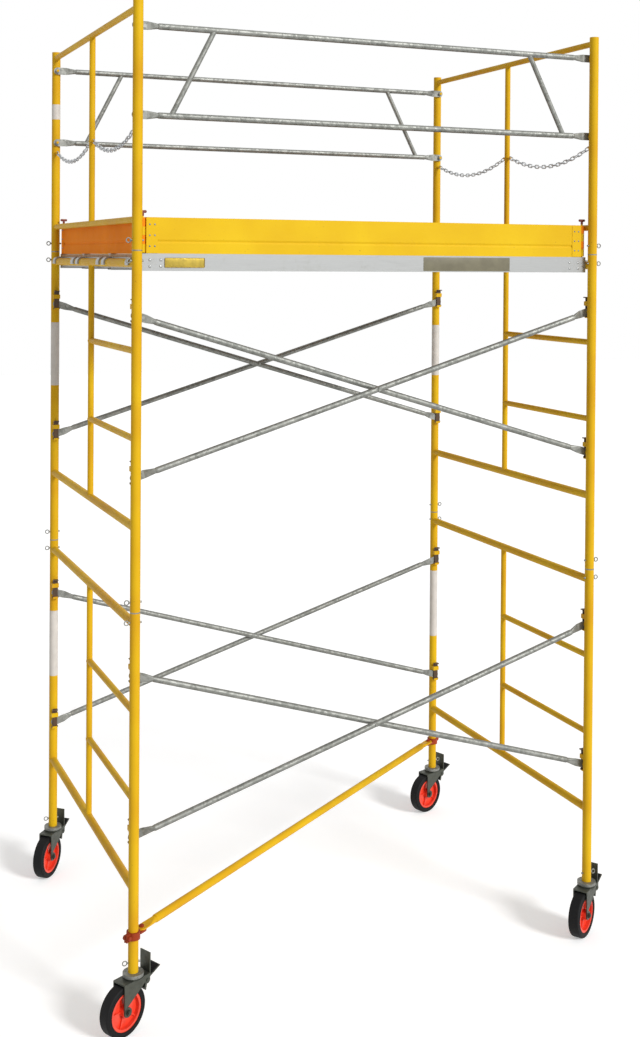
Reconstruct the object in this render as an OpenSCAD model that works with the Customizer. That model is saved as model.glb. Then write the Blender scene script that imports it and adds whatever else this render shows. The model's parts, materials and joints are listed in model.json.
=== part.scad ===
// Rolling frame scaffold tower: one bay long, two lifts high, with a guarded deck.
// Millimetres, Z up. X runs along the bay and Y across the frames.
// The origin is on the floor, under the middle of the bay.

/* [Tower] */
// Distance between the two end frames, leg centre to leg centre
bay = 2134; // [1900:1:2500]
// Width of a frame, leg centre to leg centre
frame_w = 1524; // [1400:1:1640]
// Rise of one lift, from one leg foot to the next
lift = 1436; // [1300:1:1600]

/* [Ladder frames] */
// Outside diameter of the legs
leg_d = 41.3; // [38:0.1:46]
// Wall of the legs
leg_wall = 2.4; // [2:0.1:3.2]
// Outside diameter of the bottom and top bars
bar_d = 34.9; // [30:0.1:40]
// Outside diameter of the rungs and centre posts
rung_d = 26.9; // [21:0.1:32]
// Wall of the bars, rungs and centre posts
tube_wall = 2; // [1.5:0.1:3]
// Height of the bottom bar above the foot of the legs
bar_rise = 332; // [260:1:420]
// Depth of the top bar below the top of the legs
bar_drop = 47; // [40:1:70]
// Number of rungs between the centre post and the front leg
rungs = 2; // [1:1:3]
// Diameter of the drain holes in the bars and rungs
drain_d = 6; // [4:0.5:8]

/* [Brace studs and locks] */
// Height of the lower stud above the foot of the legs
stud_low = 528; // [500:1:640]
// Height of the upper stud above the foot of the legs
stud_high = 1174; // [1000:1:1240]
// Diameter of the studs
stud_d = 12.7; // [10:0.1:16]
// Diameter of the shoulder that holds a brace off the leg
shoulder_d = 22; // [18:0.5:28]
// Length of that shoulder
shoulder_t = 4; // [2:0.5:8]
// Width of a sliding lock plate
lock_w = 24; // [18:0.5:30]
// Thickness of a sliding lock plate
lock_t = 5; // [3:0.5:8]
// Height of the loop that guides the lock
guide_h = 20; // [14:1:30]
// Wall of the loop and of the pocket under it
guide_wall = 4; // [3:0.5:6]
// Height of the feet that stop the lock under its loop
lock_foot_h = 8; // [5:0.5:12]
// Reach of the thumb tab on top of the lock
lock_tab = 14; // [8:1:24]

/* [Braces] */
// Outside diameter of the cross braces and guard rails
brace_d = 25.4; // [21:0.1:30]
// Wall of the cross braces and guard rails
brace_wall = 1.6; // [1.2:0.1:2.6]
// Width of a flattened brace end
flat_w = 34; // [30:0.5:38]
// Thickness of a flattened brace end
flat_t = 4; // [3:0.1:6]
// Length of the flat past the stud
flat_len = 45; // [36:1:70]
// Length over which the tube flattens
taper_len = 50; // [30:1:80]
// Diameter of the rivet where two braces cross
rivet_d = 8; // [6:0.5:10]

/* [Guard rails] */
// Height of the guard posts above the coupling collars
guard_h = 986; // [900:1:1100]
// Depth of the guard top bar below the top of the posts
guard_bar_drop = 28; // [20:1:60]
// Height of the guard bottom bar above the foot of the posts
guard_bar_rise = 120; // [100:1:160]
// Depth of the upper guard rail below the top of its posts
top_rail_drop = 94; // [60:1:140]
// Height of the middle rail above the foot of the posts
mid_rail = 537; // [450:1:600]
// Outside diameter of the slanting struts between the rails
strut_d = 21.3; // [18:0.1:25]
// Distance of a strut's top from the middle of the bay
strut_top_x = 740; // [600:1:800]
// Distance of a strut's foot from the middle of the bay
strut_foot_x = 922; // [820:1:940]

/* [Chains] */
// Height of the chain eyes above the foot of the posts
chain_rise = 486; // [400:1:620]
// Wire diameter of the chain
chain_wire = 5; // [4:0.1:6]
// Inside length of a link
link_len = 31.5; // [20:0.5:36]
// Inside width of a link
link_w = 10; // [8:0.5:12]
// Least sag of each half of a chain
chain_sag = 52; // [30:1:120]
// Wire diameter of the eyes on the posts
eye_wire = 6; // [5:0.5:8]
// Straight reach of the eyes
eye_reach = 8; // [6:0.5:16]

/* [Deck] */
// Number of planks side by side
planks = 3; // [2:1:3]
// Depth of the plank side rails
rail_h = 70; // [56:1:90]
// Wall of the plank side rails and end plates
rail_wall = 3; // [2:0.5:5]
// Width of the top flange of a side rail
rail_flange = 22; // [18:0.5:30]
// Thickness of the deck panel
panel_t = 12; // [8:0.5:14]
// Height of the deck above the axis of the bars that carry it
deck_rise = 38; // [34:0.5:50]
// Gap between neighbouring planks
plank_gap = 2; // [1:0.5:6]
// Gap between the outer planks and the legs
deck_side_gap = 4.8; // [2:0.1:12]
// Cross ribs under each deck panel
ribs = 6; // [3:1:8]
// Width of a rib
rib_w = 25; // [16:1:40]
// Depth of a rib
rib_h = 38; // [25:1:44]
// Width of a plank hook
hook_w = 46; // [36:1:70]
// Thickness of a plank hook round its bar
hook_t = 7; // [5:0.5:10]
// Drop of a hook's tip below the axis of its bar
hook_drop = 10; // [6:1:16]

/* [Toe boards] */
// Height of the toe boards
toe_h = 145; // [125:1:180]
// Thickness of the folded toe boards, over their flanges
toe_t = 24; // [20:0.5:24]
// Sheet thickness of the toe boards
toe_sheet = 2; // [1.5:0.1:3]
// Length of the brackets on their ends
toe_bracket = 45; // [30:1:70]
// Diameter of the corner pins
toe_pin_d = 9.5; // [8:0.1:11]
// Height of a corner pin above the boards
toe_pin_rise = 27; // [18:1:40]

/* [Diagonal brace] */
// Height of the horizontal diagonal brace above the foot of the legs
diagonal_rise = 148; // [110:1:220]
// Outside diameter of the diagonal brace
diagonal_d = 33.7; // [28:0.1:38]
// Height of its clamps
clamp_h = 30; // [24:1:44]
// Wall of its clamps
clamp_wall = 7; // [5:0.5:10]

/* [Couplings] */
// Thickness of the collar between two legs
collar_t = 5; // [3:0.5:8]
// Length of a coupling pin inside each leg
coupling_len = 98; // [80:1:140]
// Wall of a coupling pin
coupling_wall = 3; // [2:0.1:4]
// Diameter of the locking pins
pin_d = 8; // [6:0.1:9]
// Distance of the pin holes from the end of a leg
pin_hole_rise = 38; // [30:1:60]
// Radius of the pull ring on a locking pin
ring_r = 9; // [7:0.5:9.5]
// Wire diameter of the pull ring
ring_wire = 4.5; // [3:0.1:5]

/* [Casters] */
// Diameter of the wheels
wheel_d = 203.2; // [180:0.1:220]
// Width of the tyres
wheel_w = 50; // [40:0.5:54]
// Thickness of the rubber round the hub
tyre_t = 24.6; // [20:0.1:36]
// Diameter of the axle bolt
axle_d = 12.7; // [10:0.1:16]
// Trail of the wheel behind its swivel axis
trail = 55; // [50:0.5:60]
// Gap between the tyre and the fork crown
crown_gap = 4.8; // [3:0.1:10]
// Thickness of the fork crown
crown_t = 6; // [5:0.5:8]
// Thickness of the fork cheeks
cheek_t = 5; // [4:0.5:7]
// Height of the swivel race
race_h = 10; // [8:0.5:16]
// Thickness of the flange under the leg
flange_t = 8; // [5:0.5:12]
// Diameter of the flange and of the swivel housing
flange_d = 84; // [76:1:92]
// Diameter of the kingpin
kingpin_d = 16; // [12:0.5:20]
// Length of the stem inside the leg
stem_len = 150; // [120:1:160]
// Swivel angle of the front left caster
swivel_front_left = 27; // [-180:1:180]
// Swivel angle of the back left caster
swivel_back_left = 49; // [-180:1:180]
// Swivel angle of the back right caster
swivel_back_right = 21; // [-180:1:180]
// Swivel angle of the front right caster
swivel_front_right = 34; // [-180:1:180]

/* [Fits] */
// Gap kept between pieces that are seated together
seat_gap = 0.3; // [0.2:0.05:0.5]
// Clearance of a tube inside another, on the radius
tube_fit = 0.4; // [0.2:0.05:0.6]
// Clearance of an axle or pivot, on the radius
pivot_fit = 0.08; // [0.05:0.01:0.1]

/* [Hidden] */
$fn = 48;
paint = "#f2b01e";
toe_paint = "#fbcb20";
galvanised = "#a9adb0";
dark_steel = "#4a4038";
aluminium = "#b9bcbf";
plywood = "#a97c4a";
clamp_colour = "#7a3320";
hub_colour = "#e8402a";
tyre_colour = "#1b1b1c";
fork_colour = "#4b4f50";

over = 1;                                   // how far a cutting tool runs past a face
nose = 6;                                   // length of the chamfered nose of a flattened tube
nose_step = 1.5;                            // how far the nose closes in, on the radius
base_z = wheel_d + crown_gap + crown_t + race_h + flange_t;
leg_len = lift - collar_t;
leg_bore = leg_d - 2 * leg_wall;
leg_r = leg_d / 2;
bar_bore = bar_d - 2 * tube_wall;
rung_bore = rung_d - 2 * tube_wall;
bar_top_rise = leg_len - bar_drop;
rung_step = (bar_top_rise - bar_rise) / (rungs + 1);
stud_rises = [stud_low, stud_high];
lift_feet = [base_z, base_z + lift];
guard_z = base_z + 2 * lift;
top_rail = guard_h - top_rail_drop;
bar_top_z = lift_feet[1] + bar_top_rise;

// Distances inward from a leg's axis, along the frame
flat_y = leg_r + shoulder_t + seat_gap + flat_t / 2;
stud_end = flat_y + flat_t / 2 + 1;
lock_y = stud_end + seat_gap;

// Heights of a lock over its stud, with the lock down
lock_lap = 9;                               // how far the lock's foot hangs below the brace
lock_rise = 20;                             // how far its tab stands above the guide loop
lock_foot_z = -flat_w / 2 - lock_lap;
lock_travel = flat_w + lock_lap + 1;
guide_z = lock_foot_z + lock_foot_h + lock_travel;
lock_top = guide_z + guide_h + lock_rise;
pocket_lip = 6;
weld_in = 6;                                // how far welded pieces run into a tube

brace_drop = stud_high - stud_low;
brace_len = sqrt(bay * bay + brace_drop * brace_drop);
brace_angle = atan(brace_drop / bay);
rivet_head_d = 2 * rivet_d;
rivet_head_t = 3;
nut_t = 10;
nut_af = 1.5 * stud_d;

// Chain: the eyes are half links, and every link is seated in the one before it
eye_r = (link_w + eye_wire) / 2;
eye_seat = (eye_wire + chain_wire) / 2 + seat_gap;
link_step = link_len - seat_gap;
link_over = link_len + chain_wire;
chain_from = leg_r + eye_reach + eye_r;
chain_span = frame_w / 2 - rung_d / 2 - eye_reach - eye_r - chain_from;
chain_wanted = chain_span * (1 + 8 / 3 * pow(chain_sag / chain_span, 2));
chain_links = 2 * ceil(((chain_wanted + 2 * eye_seat - link_over) / link_step) / 2) + 1;
chain_len = link_over + (chain_links - 1) * link_step;
chain_arc = chain_len - 2 * eye_seat;

// Deck, between the legs and on the top bars of the upper frames
deck_z = bar_top_z + deck_rise;
deck_edge = frame_w / 2 - leg_r - deck_side_gap;
plank_w = (2 * deck_edge - (planks - 1) * plank_gap) / planks;
plank_pitch = plank_w + plank_gap;
hook_bore = bar_d / 2 + seat_gap;
plank_end = bay / 2 - hook_bore - 2;
hook_inset = 24;
hook_shoe = 50;
rail_lip = 3 * rail_wall;
rib_wall = 2.5;
rib_first = plank_end - 110;

// Toe boards stand on the outer plank rails and meet at pinned corners
toe_y = deck_edge - 0.5;
toe_x = plank_end - 1;
knuckle_r = toe_t / 2;
knuckle_edge = 3;
knuckle_gap = 0.5;
knuckle_web = 2;
knuckle_pitch = (toe_h - 2 * knuckle_edge) / 4;
toe_groove_z = toe_h / 3;
toe_groove_h = 8;
toe_groove_t = 4;
toe_lip = 9;
pin_shoulder_d = 18;
pin_shoulder_t = 3;

diagonal_angle = atan(frame_w / bay);
diagonal_wall = 2.5;
diagonal_flat_t = 6;
diagonal_flat_w = 40;
clamp_slit = 3;
clamp_ear = 20;
clamp_ear_t = 6;
clamp_bolt_d = 10;
lug_t = 8;
lug_arm = 24;
lug_reach = leg_r + clamp_wall + lug_arm;
diagonal_flat_end = lug_reach + 30;
diagonal_tube_x = diagonal_flat_end + 60;
diagonal_tube_z = (lug_t + diagonal_flat_t) / 2;

coupling_d = leg_bore - 2 * tube_fit;
pin_hole_d = pin_d + 0.6;
ring_out = 5;

// Casters, with the trail along +X from the swivel axis
wheel_z = wheel_d / 2;
crown_z = wheel_d + crown_gap;
race_z = crown_z + crown_t;
cheek_gap = wheel_w / 2 + 4;                // from the middle to the inner face of a cheek
cheek_out = cheek_gap + cheek_t;
hub_d = wheel_d - 2 * tyre_t;
hub_w = 2 * cheek_gap - 2;
race_d = flange_d - 8;
axle_boss_r = 1.5 * axle_d;
crown_back = trail + axle_boss_r;
crown_skirt = 3;                            // how far the crown's disc stands out past the race
kingpin_head_d = kingpin_d + 11;
kingpin_head_t = 7;
axle_head_d = 1.7 * axle_d;
bolt_head_t = 8;
bolt_tail = 4;                              // thread that stands out past a nut
ear_r = 13;
pedal_x = -48;
pedal_z = crown_z - 18;
pedal_barrel_r = ear_r - 4;
pedal_pin_d = 8;
pedal_pin_head = [14, 3];                   // its diameter and thickness
pedal_w = 2 * cheek_gap - 2;
pedal_plate = 5;
pedal_tip_x = -118;
pedal_tip_z = crown_z + 14;
pedal_tab_x = -66;
pedal_tab_z = crown_z + 82;
shoe_angle = -78;
shoe_len = 40;
shoe_gap = 6.5;
rim_t = 10;
rim_inset = 2;
hub_boss_r = 22;
hub_web = 10;
spokes = 5;
spoke_t = 6;
tyre_round = 8;

LIFTS = ["lower", "upper"];
SIDES = ["left", "right"];
ENDS = ["front", "back"];
LEVELS = ["low", "high"];
CORNERS = ["front_left", "back_left", "back_right", "front_right"];
corner_signs = [[-1, -1], [-1, 1], [1, 1], [1, -1]];
swivels = [swivel_front_left, swivel_back_left, swivel_back_right, swivel_front_right];
PLANKS = ["front", "middle", "back"];

function sign_of(i) = 2 * i - 1;
function sinh(x) = (exp(x) - exp(-x)) / 2;
function cosh(x) = (exp(x) + exp(-x)) / 2;
function asinh(x) = ln(x + sqrt(x * x + 1));

// Half the span over the catenary's parameter, by Newton's method: sinh(x) = ratio * x
function catenary_root(ratio, x, steps = 8) =
    steps == 0 ? x
    : catenary_root(ratio, x - (sinh(x) - ratio * x) / (cosh(x) - ratio), steps - 1);
function catenary_scale(length, span) =
    span / 2 / catenary_root(length / span, sqrt(6 * (length / span - 1)));

// The point where a line from p touches a circle, on its left (1) or right (-1)
function touch_point(p, c, r, side) =
    let (d = p - c, a = atan2(d[1], d[0]) + side * acos(r / norm(d)))
    c + r * [cos(a), sin(a)];

// Puts a piece made for the front left corner, with the tower toward +X and +Y, at any corner
module corner(signs)
    translate([signs[0] * bay / 2, signs[1] * frame_w / 2, 0])
        mirror([signs[0] > 0 ? 1 : 0, 0, 0])
            mirror([0, signs[1] > 0 ? 1 : 0, 0])
                children();

module along_x(d, h, from = 0) translate([from, 0, 0]) rotate([0, 90, 0]) cylinder(d = d, h = h);
module along_y(d, h, from = 0) translate([0, from, 0]) rotate([-90, 0, 0]) cylinder(d = d, h = h);
module tube(od, bore, h) difference() {
    cylinder(d = od, h = h);
    translate([0, 0, -over]) cylinder(d = bore, h = h + 2 * over);
}

// ---- Frames ----

// Shoulder and stud for a brace end, pointing inward from a leg
module stud(length) {
    along_y(shoulder_d, leg_r + shoulder_t - weld_in, weld_in);
    along_y(stud_d, length - weld_in, weld_in);
}

// What is welded to a leg at each brace stud: the stud, the lock's guide loop and its pocket
module brace_station() {
    loop_w = lock_w + 2 * seat_gap + 2 * guide_wall;
    loop_y = lock_y + lock_t + seat_gap;
    stud(stud_end);
    difference() {
        translate([-loop_w / 2, leg_r - weld_in, guide_z])
            cube([loop_w, loop_y + guide_wall - leg_r + weld_in, guide_h]);
        translate([-lock_w / 2 - seat_gap, lock_y - seat_gap, guide_z - over])
            cube([lock_w + 2 * seat_gap, lock_t + 2 * seat_gap, guide_h + 2 * over]);
    }
    translate([-lock_w / 2, leg_r - weld_in, lock_foot_z - seat_gap - guide_wall]) {
        cube([lock_w, loop_y + guide_wall - leg_r + weld_in, guide_wall]);
        translate([0, loop_y - leg_r + weld_in, 0])
            cube([lock_w, guide_wall, guide_wall + seat_gap + pocket_lip]);
    }
}

// A gravity lock: a plate that drops in front of the stud and keeps the brace on it
module gravity_lock() color(dark_steel) {
    translate([-lock_w / 2, lock_y, lock_foot_z]) {
        cube([lock_w, lock_t, lock_top - lock_foot_z]);
        translate([-guide_wall, 0, 0]) cube([lock_w + 2 * guide_wall, lock_t, lock_foot_h]);
    }
    translate([-lock_w / 2, lock_y, lock_top - lock_t]) cube([lock_w, lock_t + lock_tab, lock_t]);
    translate([-lock_w / 2, lock_y + lock_t + lock_tab, lock_top - lock_t / 2]) along_x(lock_t, lock_w);
}

module ladder_frame(side, foot_z)
    translate([side * bay / 2, 0, foot_z]) color(paint)
    difference() {
        union() {
            for (s = [-1, 1]) translate([0, s * frame_w / 2, 0]) cylinder(d = leg_d, h = leg_len);
            for (z = [bar_rise, bar_top_rise])
                translate([0, 0, z]) along_y(bar_d, frame_w, -frame_w / 2);
            translate([0, 0, bar_rise]) cylinder(d = rung_d, h = bar_top_rise - bar_rise);
            for (i = [1:rungs])
                translate([0, 0, bar_rise + i * rung_step]) along_y(rung_d, frame_w / 2, -frame_w / 2);
            for (m = [0, 1], z = stud_rises)
                mirror([0, m, 0]) translate([0, -frame_w / 2, z]) brace_station();
        }
        for (s = [-1, 1]) translate([0, s * frame_w / 2, 0]) {
            translate([0, 0, -over]) cylinder(d = leg_bore, h = leg_len + 2 * over);
            for (z = [pin_hole_rise, leg_len - pin_hole_rise])
                translate([0, 0, z]) along_x(pin_hole_d, leg_d + 2 * over, -leg_r - over);
        }
        for (z = [bar_rise, bar_top_rise]) translate([0, 0, z]) {
            along_y(bar_bore, frame_w - leg_d, leg_r - frame_w / 2);
            for (s = [-1, 1])
                translate([0, s * (frame_w / 2 - 3 * leg_d / 2), -bar_d]) cylinder(d = drain_d, h = bar_d);
        }
        translate([0, 0, bar_rise + bar_d / 2])
            cylinder(d = rung_bore, h = bar_top_rise - bar_rise - bar_d);
        translate([0, 0, bar_rise + 2 * bar_d]) along_x(drain_d, rung_d);
        for (i = [1:rungs]) translate([0, 0, bar_rise + i * rung_step]) {
            along_y(rung_bore, frame_w / 2 - leg_r - rung_d / 2, leg_r - frame_w / 2);
            translate([0, 3 * leg_d / 2 - frame_w / 2, -rung_d]) cylinder(d = drain_d, h = rung_d);
        }
    }

// A chain eye: half a link on two straight wires, pointing inward from the face of a post
module chain_eye(post_r) {
    for (s = [-1, 1])
        translate([s * eye_r, 0, 0]) along_y(eye_wire, eye_reach + weld_in, post_r - weld_in);
    translate([0, post_r + eye_reach, 0])
        rotate_extrude(angle = 180) translate([eye_r, 0]) circle(d = eye_wire);
}

module guard_frame(side)
    translate([side * bay / 2, 0, guard_z]) color(paint)
    difference() {
        union() {
            for (m = [0, 1]) mirror([0, m, 0]) {
                translate([0, -frame_w / 2, 0]) {
                    cylinder(d = leg_d, h = guard_h);
                    for (z = [mid_rail, top_rail])
                        translate([0, 0, z]) stud(flat_y + flat_t / 2 + nut_t + stud_d / 3);
                    translate([0, 0, chain_rise]) chain_eye(leg_r);
                }
                translate([0, 0, chain_rise]) mirror([0, 1, 0]) chain_eye(rung_d / 2);
            }
            for (z = [guard_bar_rise, guard_h - guard_bar_drop])
                translate([0, 0, z]) along_y(rung_d, frame_w, -frame_w / 2);
            translate([0, 0, guard_bar_rise])
                cylinder(d = rung_d, h = guard_h - guard_bar_drop - guard_bar_rise);
        }
        for (s = [-1, 1]) translate([0, s * frame_w / 2, 0]) {
            translate([0, 0, -over]) cylinder(d = leg_bore, h = guard_h - leg_wall + over);
            translate([0, 0, pin_hole_rise]) along_x(pin_hole_d, leg_d + 2 * over, -leg_r - over);
        }
        for (z = [guard_bar_rise, guard_h - guard_bar_drop]) translate([0, 0, z]) {
            along_y(rung_bore, frame_w - leg_d, leg_r - frame_w / 2);
            for (s = [-1, 1])
                translate([0, s * (frame_w / 2 - 3 * leg_d / 2), -rung_d]) cylinder(d = drain_d, h = rung_d);
        }
        translate([0, 0, guard_bar_rise + rung_d / 2])
            cylinder(d = rung_bore, h = guard_h - guard_bar_drop - guard_bar_rise - rung_d);
        translate([0, 0, guard_bar_rise + 2 * rung_d]) along_x(drain_d, rung_d);
    }

// ---- Couplings ----

// Locking pin through a leg, with its pull ring on the outer side of the frame
module locking_pin() {
    ring_x = -leg_r - ring_out - ring_r;
    along_x(pin_d, leg_d + 2 * ring_out + pin_d / 2, -leg_r - ring_out - ring_wire / 2);
    translate([ring_x, 0, 0]) rotate([90, 0, 0])
        rotate_extrude() translate([ring_r, 0]) circle(d = ring_wire);
}

module coupling_pin() {
    translate([0, 0, -coupling_len - collar_t]) difference() {
        tube(coupling_d, coupling_d - 2 * coupling_wall, 2 * coupling_len + collar_t);
        for (z = [coupling_len - pin_hole_rise, coupling_len + collar_t + pin_hole_rise])
            translate([0, 0, z]) along_x(pin_hole_d, leg_d, -leg_r);
    }
    translate([0, 0, -collar_t]) tube(leg_d, coupling_d - 2 * coupling_wall, collar_t);
}

module coupling_pins() color(galvanised)
    for (signs = corner_signs, z = [lift_feet[1], guard_z])
        corner(signs) translate([0, 0, z]) {
            coupling_pin();
            translate([0, 0, pin_hole_rise]) locking_pin();
            translate([0, 0, -collar_t - pin_hole_rise]) locking_pin();
        }

// ---- Braces and guard rails ----

// Tube blank along X with chamfered noses outside a full round length of 2 * half
module nosed_blank(od, half)
    rotate([0, 90, 0]) rotate_extrude() polygon([
        [0, -half - nose], [od / 2 - nose_step, -half - nose], [od / 2, -half],
        [od / 2, half], [od / 2 - nose_step, half + nose], [0, half + nose]
    ]);

// Neck along +X from a flat plate, `plate` thick in Y and wide in Z, into the nose of such a blank
module neck(plate, from, to, od, off = 0)
    hull() {
        translate([from - over, -plate[0] / 2, -plate[1] / 2]) cube([over, plate[0], plate[1]]);
        translate([0, off, 0]) along_x(od - 4 * nose_step, over, to - 2 * over, $fn = 32);
    }

// Flattened end of a tube along +X, with its hole at the origin and its tube axis off by `off`
module flat_end(off) {
    rotate([90, 0, 0]) translate([0, 0, -flat_t / 2]) cylinder(d = flat_w, h = flat_t);
    translate([0, -flat_t / 2, -flat_w / 2]) cube([flat_len, flat_t, flat_w]);
    neck([flat_t, flat_w], flat_len, flat_len + taper_len, brace_d, off);
}

// A straight tube with two flattened ends, centred, its end holes `length` apart
module flat_ended_tube(length, off) {
    tube_half = length / 2 - flat_len - taper_len;
    for (m = [0, 1]) mirror([m, 0, 0]) translate([-length / 2, 0, 0]) flat_end(off);
    translate([0, off, 0]) nosed_blank(brace_d, tube_half);
}

module flat_ended_bores(length, off) {
    tube_half = length / 2 - flat_len - taper_len;
    translate([0, off, 0]) along_x(brace_d - 2 * brace_wall, 2 * tube_half, -tube_half);
    for (s = [-1, 1]) translate([s * length / 2, 0, 0])
        along_y(stud_d + 2 * seat_gap, 2 * flat_t, -flat_t);
}

module brace_bar(off)
    difference() {
        flat_ended_tube(brace_len, off);
        flat_ended_bores(brace_len, off);
        along_y(rivet_d + 2 * seat_gap, 4 * brace_d, -2 * brace_d);
    }

module cross_brace(end, foot_z) color(galvanised)
    translate([0, end * (frame_w / 2 - flat_y), foot_z + (stud_low + stud_high) / 2])
    mirror([0, end > 0 ? 1 : 0, 0]) {
        off = brace_d / 2 + seat_gap / 2;
        reach = off + brace_d / 2;
        rotate([0, -brace_angle, 0]) brace_bar(-off);
        rotate([0, brace_angle, 0]) brace_bar(off);
        along_y(rivet_d, 2 * reach, -reach);
        for (m = [0, 1]) mirror([0, m, 0]) along_y(rivet_head_d, rivet_head_t, reach);
    }

module guardrail(end) color(galvanised)
    translate([0, end * (frame_w / 2 - flat_y), guard_z])
    mirror([0, end > 0 ? 1 : 0, 0]) {
        strut_rise = top_rail - mid_rail;
        strut_run = strut_foot_x - strut_top_x;
        strut_len = sqrt(strut_rise * strut_rise + strut_run * strut_run);
        difference() {
            union() {
                for (z = [mid_rail, top_rail]) translate([0, 0, z]) flat_ended_tube(bay, 0);
                for (m = [0, 1]) mirror([m, 0, 0]) translate([strut_foot_x, 0, mid_rail])
                    rotate([0, -atan(strut_run / strut_rise), 0]) cylinder(d = strut_d, h = strut_len);
            }
            for (z = [mid_rail, top_rail]) translate([0, 0, z]) {
                flat_ended_bores(bay, 0);
                for (s = [-1, 1]) translate([s * strut_top_x / 2, 0, -brace_d])
                    cylinder(d = drain_d, h = brace_d);
            }
            for (m = [0, 1]) mirror([m, 0, 0]) translate([strut_foot_x, 0, mid_rail])
                rotate([0, -atan(strut_run / strut_rise), 0])
                    cylinder(d = strut_d - 2 * brace_wall, h = strut_len);
        }
        for (s = [-1, 1], z = [mid_rail, top_rail])
            translate([s * bay / 2, flat_t / 2 + seat_gap, z]) difference() {
                along_y(nut_af / cos(30), nut_t, 0, $fn = 6);
                along_y(stud_d + 2 * pivot_fit, nut_t + 2 * over, -over);
            }
    }

// ---- Chains ----

module chain_link() {
    r = (link_w + chain_wire) / 2;
    straight = link_len - link_w;
    for (s = [-1, 1]) translate([0, s * r, 0]) along_x(chain_wire, straight, -straight / 2);
    for (m = [0, 1]) mirror([m, 0, 0]) translate([straight / 2, 0, 0])
        rotate([0, 0, -90]) rotate_extrude(angle = 180) translate([r, 0]) circle(d = chain_wire);
}

// Half a chain, hanging in a catenary between the eye on a leg and the eye on the centre post
module half_chain() {
    a = catenary_scale(chain_arc, chain_span);
    drop = sqrt(a * a + chain_arc * chain_arc / 4) - a;
    for (i = [0:chain_links - 1]) {
        s = link_over / 2 + i * link_step - chain_len / 2;
        translate([0, chain_from + chain_span / 2 + a * asinh(s / a), sqrt(a * a + s * s) - a - drop])
            rotate([atan(s / a), 0, 0]) rotate([0, 0, 90]) rotate([i % 2 == 0 ? 90 : 0, 0, 0])
                chain_link();
    }
}

module chain(side) color(galvanised)
    for (end = [-1, 1])
        corner([side, end]) translate([0, 0, guard_z + chain_rise]) half_chain();

// ---- Deck ----

// Section of a plank side rail: web on the outside, flange on top, lipped flange below
module rail_section() {
    square([rail_wall, rail_h]);
    translate([0, rail_h - rail_wall]) square([rail_flange, rail_wall]);
    square([rail_flange + 2 * rail_wall, rail_wall]);
    translate([rail_flange + rail_wall, 0]) square([rail_wall, rail_lip]);
}

// Hook over a frame bar: an arch round the bar, a tip outside it and a shoe under the deck
module plank_hook() rotate([90, 0, 0]) linear_extrude(hook_w, center = true) {
    difference() {
        union() {
            circle(hook_bore + hook_t);
            translate([-hook_bore - hook_t, -hook_drop]) square([2 * (hook_bore + hook_t), hook_drop]);
        }
        circle(hook_bore);
        translate([-hook_bore, -2 * hook_bore]) square([2 * hook_bore, 2 * hook_bore]);
        translate([-hook_bore - 2 * hook_t, -2 * hook_bore - hook_drop])
            square([2 * (hook_bore + 2 * hook_t), 2 * hook_bore]);
    }
    translate([-hook_bore - hook_shoe, 0])
        square([hook_shoe, deck_rise - rail_wall - panel_t]);
}

module plank_frame(i) color(aluminium)
    translate([0, (i - (planks - 1) / 2) * plank_pitch, deck_z]) {
        inner_w = plank_w - 2 * rail_wall;
        rib_top = -rail_wall - panel_t;
        for (m = [0, 1]) mirror([0, m, 0])
            translate([plank_end, -plank_w / 2, -rail_h]) rotate([90, 0, -90])
                mirror([1, 0, 0]) linear_extrude(2 * plank_end) rail_section();
        for (k = [0:ribs - 1])
            translate([-rib_first + k * 2 * rib_first / (ribs - 1), 0, rib_top - rib_h / 2])
                difference() {
                    cube([rib_w, inner_w - 2 * seat_gap, rib_h], center = true);
                    cube([rib_w - 2 * rib_wall, inner_w, rib_h - 2 * rib_wall], center = true);
                    translate([0, 0, -rib_h]) cylinder(d = drain_d, h = rib_h);
                }
        for (m = [0, 1]) mirror([m, 0, 0]) {
            translate([-plank_end, seat_gap - inner_w / 2, seat_gap + rail_lip - rail_h])
                cube([rail_wall, inner_w - 2 * seat_gap, rail_h - rail_lip - rail_wall - panel_t - seat_gap]);
            for (s = [-1, 1])
                translate([-bay / 2, s * (plank_w / 2 - hook_inset - hook_w / 2), -deck_rise])
                    mirror([1, 0, 0]) plank_hook();
        }
    }

module plank_deck(i) color(plywood)
    translate([-plank_end, (i - (planks - 1) / 2) * plank_pitch - plank_w / 2 + rail_wall + seat_gap,
               deck_z - rail_wall - panel_t])
    cube([2 * plank_end, plank_w - 2 * rail_wall - 2 * seat_gap, panel_t]);

// ---- Toe boards ----

// Folded sheet: a grooved face, with a flange and a lip at the top and at the bottom
module toe_section() {
    z1 = toe_groove_z - toe_groove_h;
    z2 = toe_groove_z + toe_groove_h;
    in = toe_sheet;
    polygon([
        [0, 0], [toe_t, 0], [toe_t, toe_lip], [toe_t - in, toe_lip], [toe_t - in, in], [in, in],
        [in, z1], [in + toe_groove_t, toe_groove_z], [in, z2], [in, toe_h - in],
        [toe_t - in, toe_h - in], [toe_t - in, toe_h - toe_lip], [toe_t, toe_h - toe_lip],
        [toe_t, toe_h], [0, toe_h], [0, z2], [toe_groove_t, toe_groove_z], [0, z1]
    ]);
}

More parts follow.
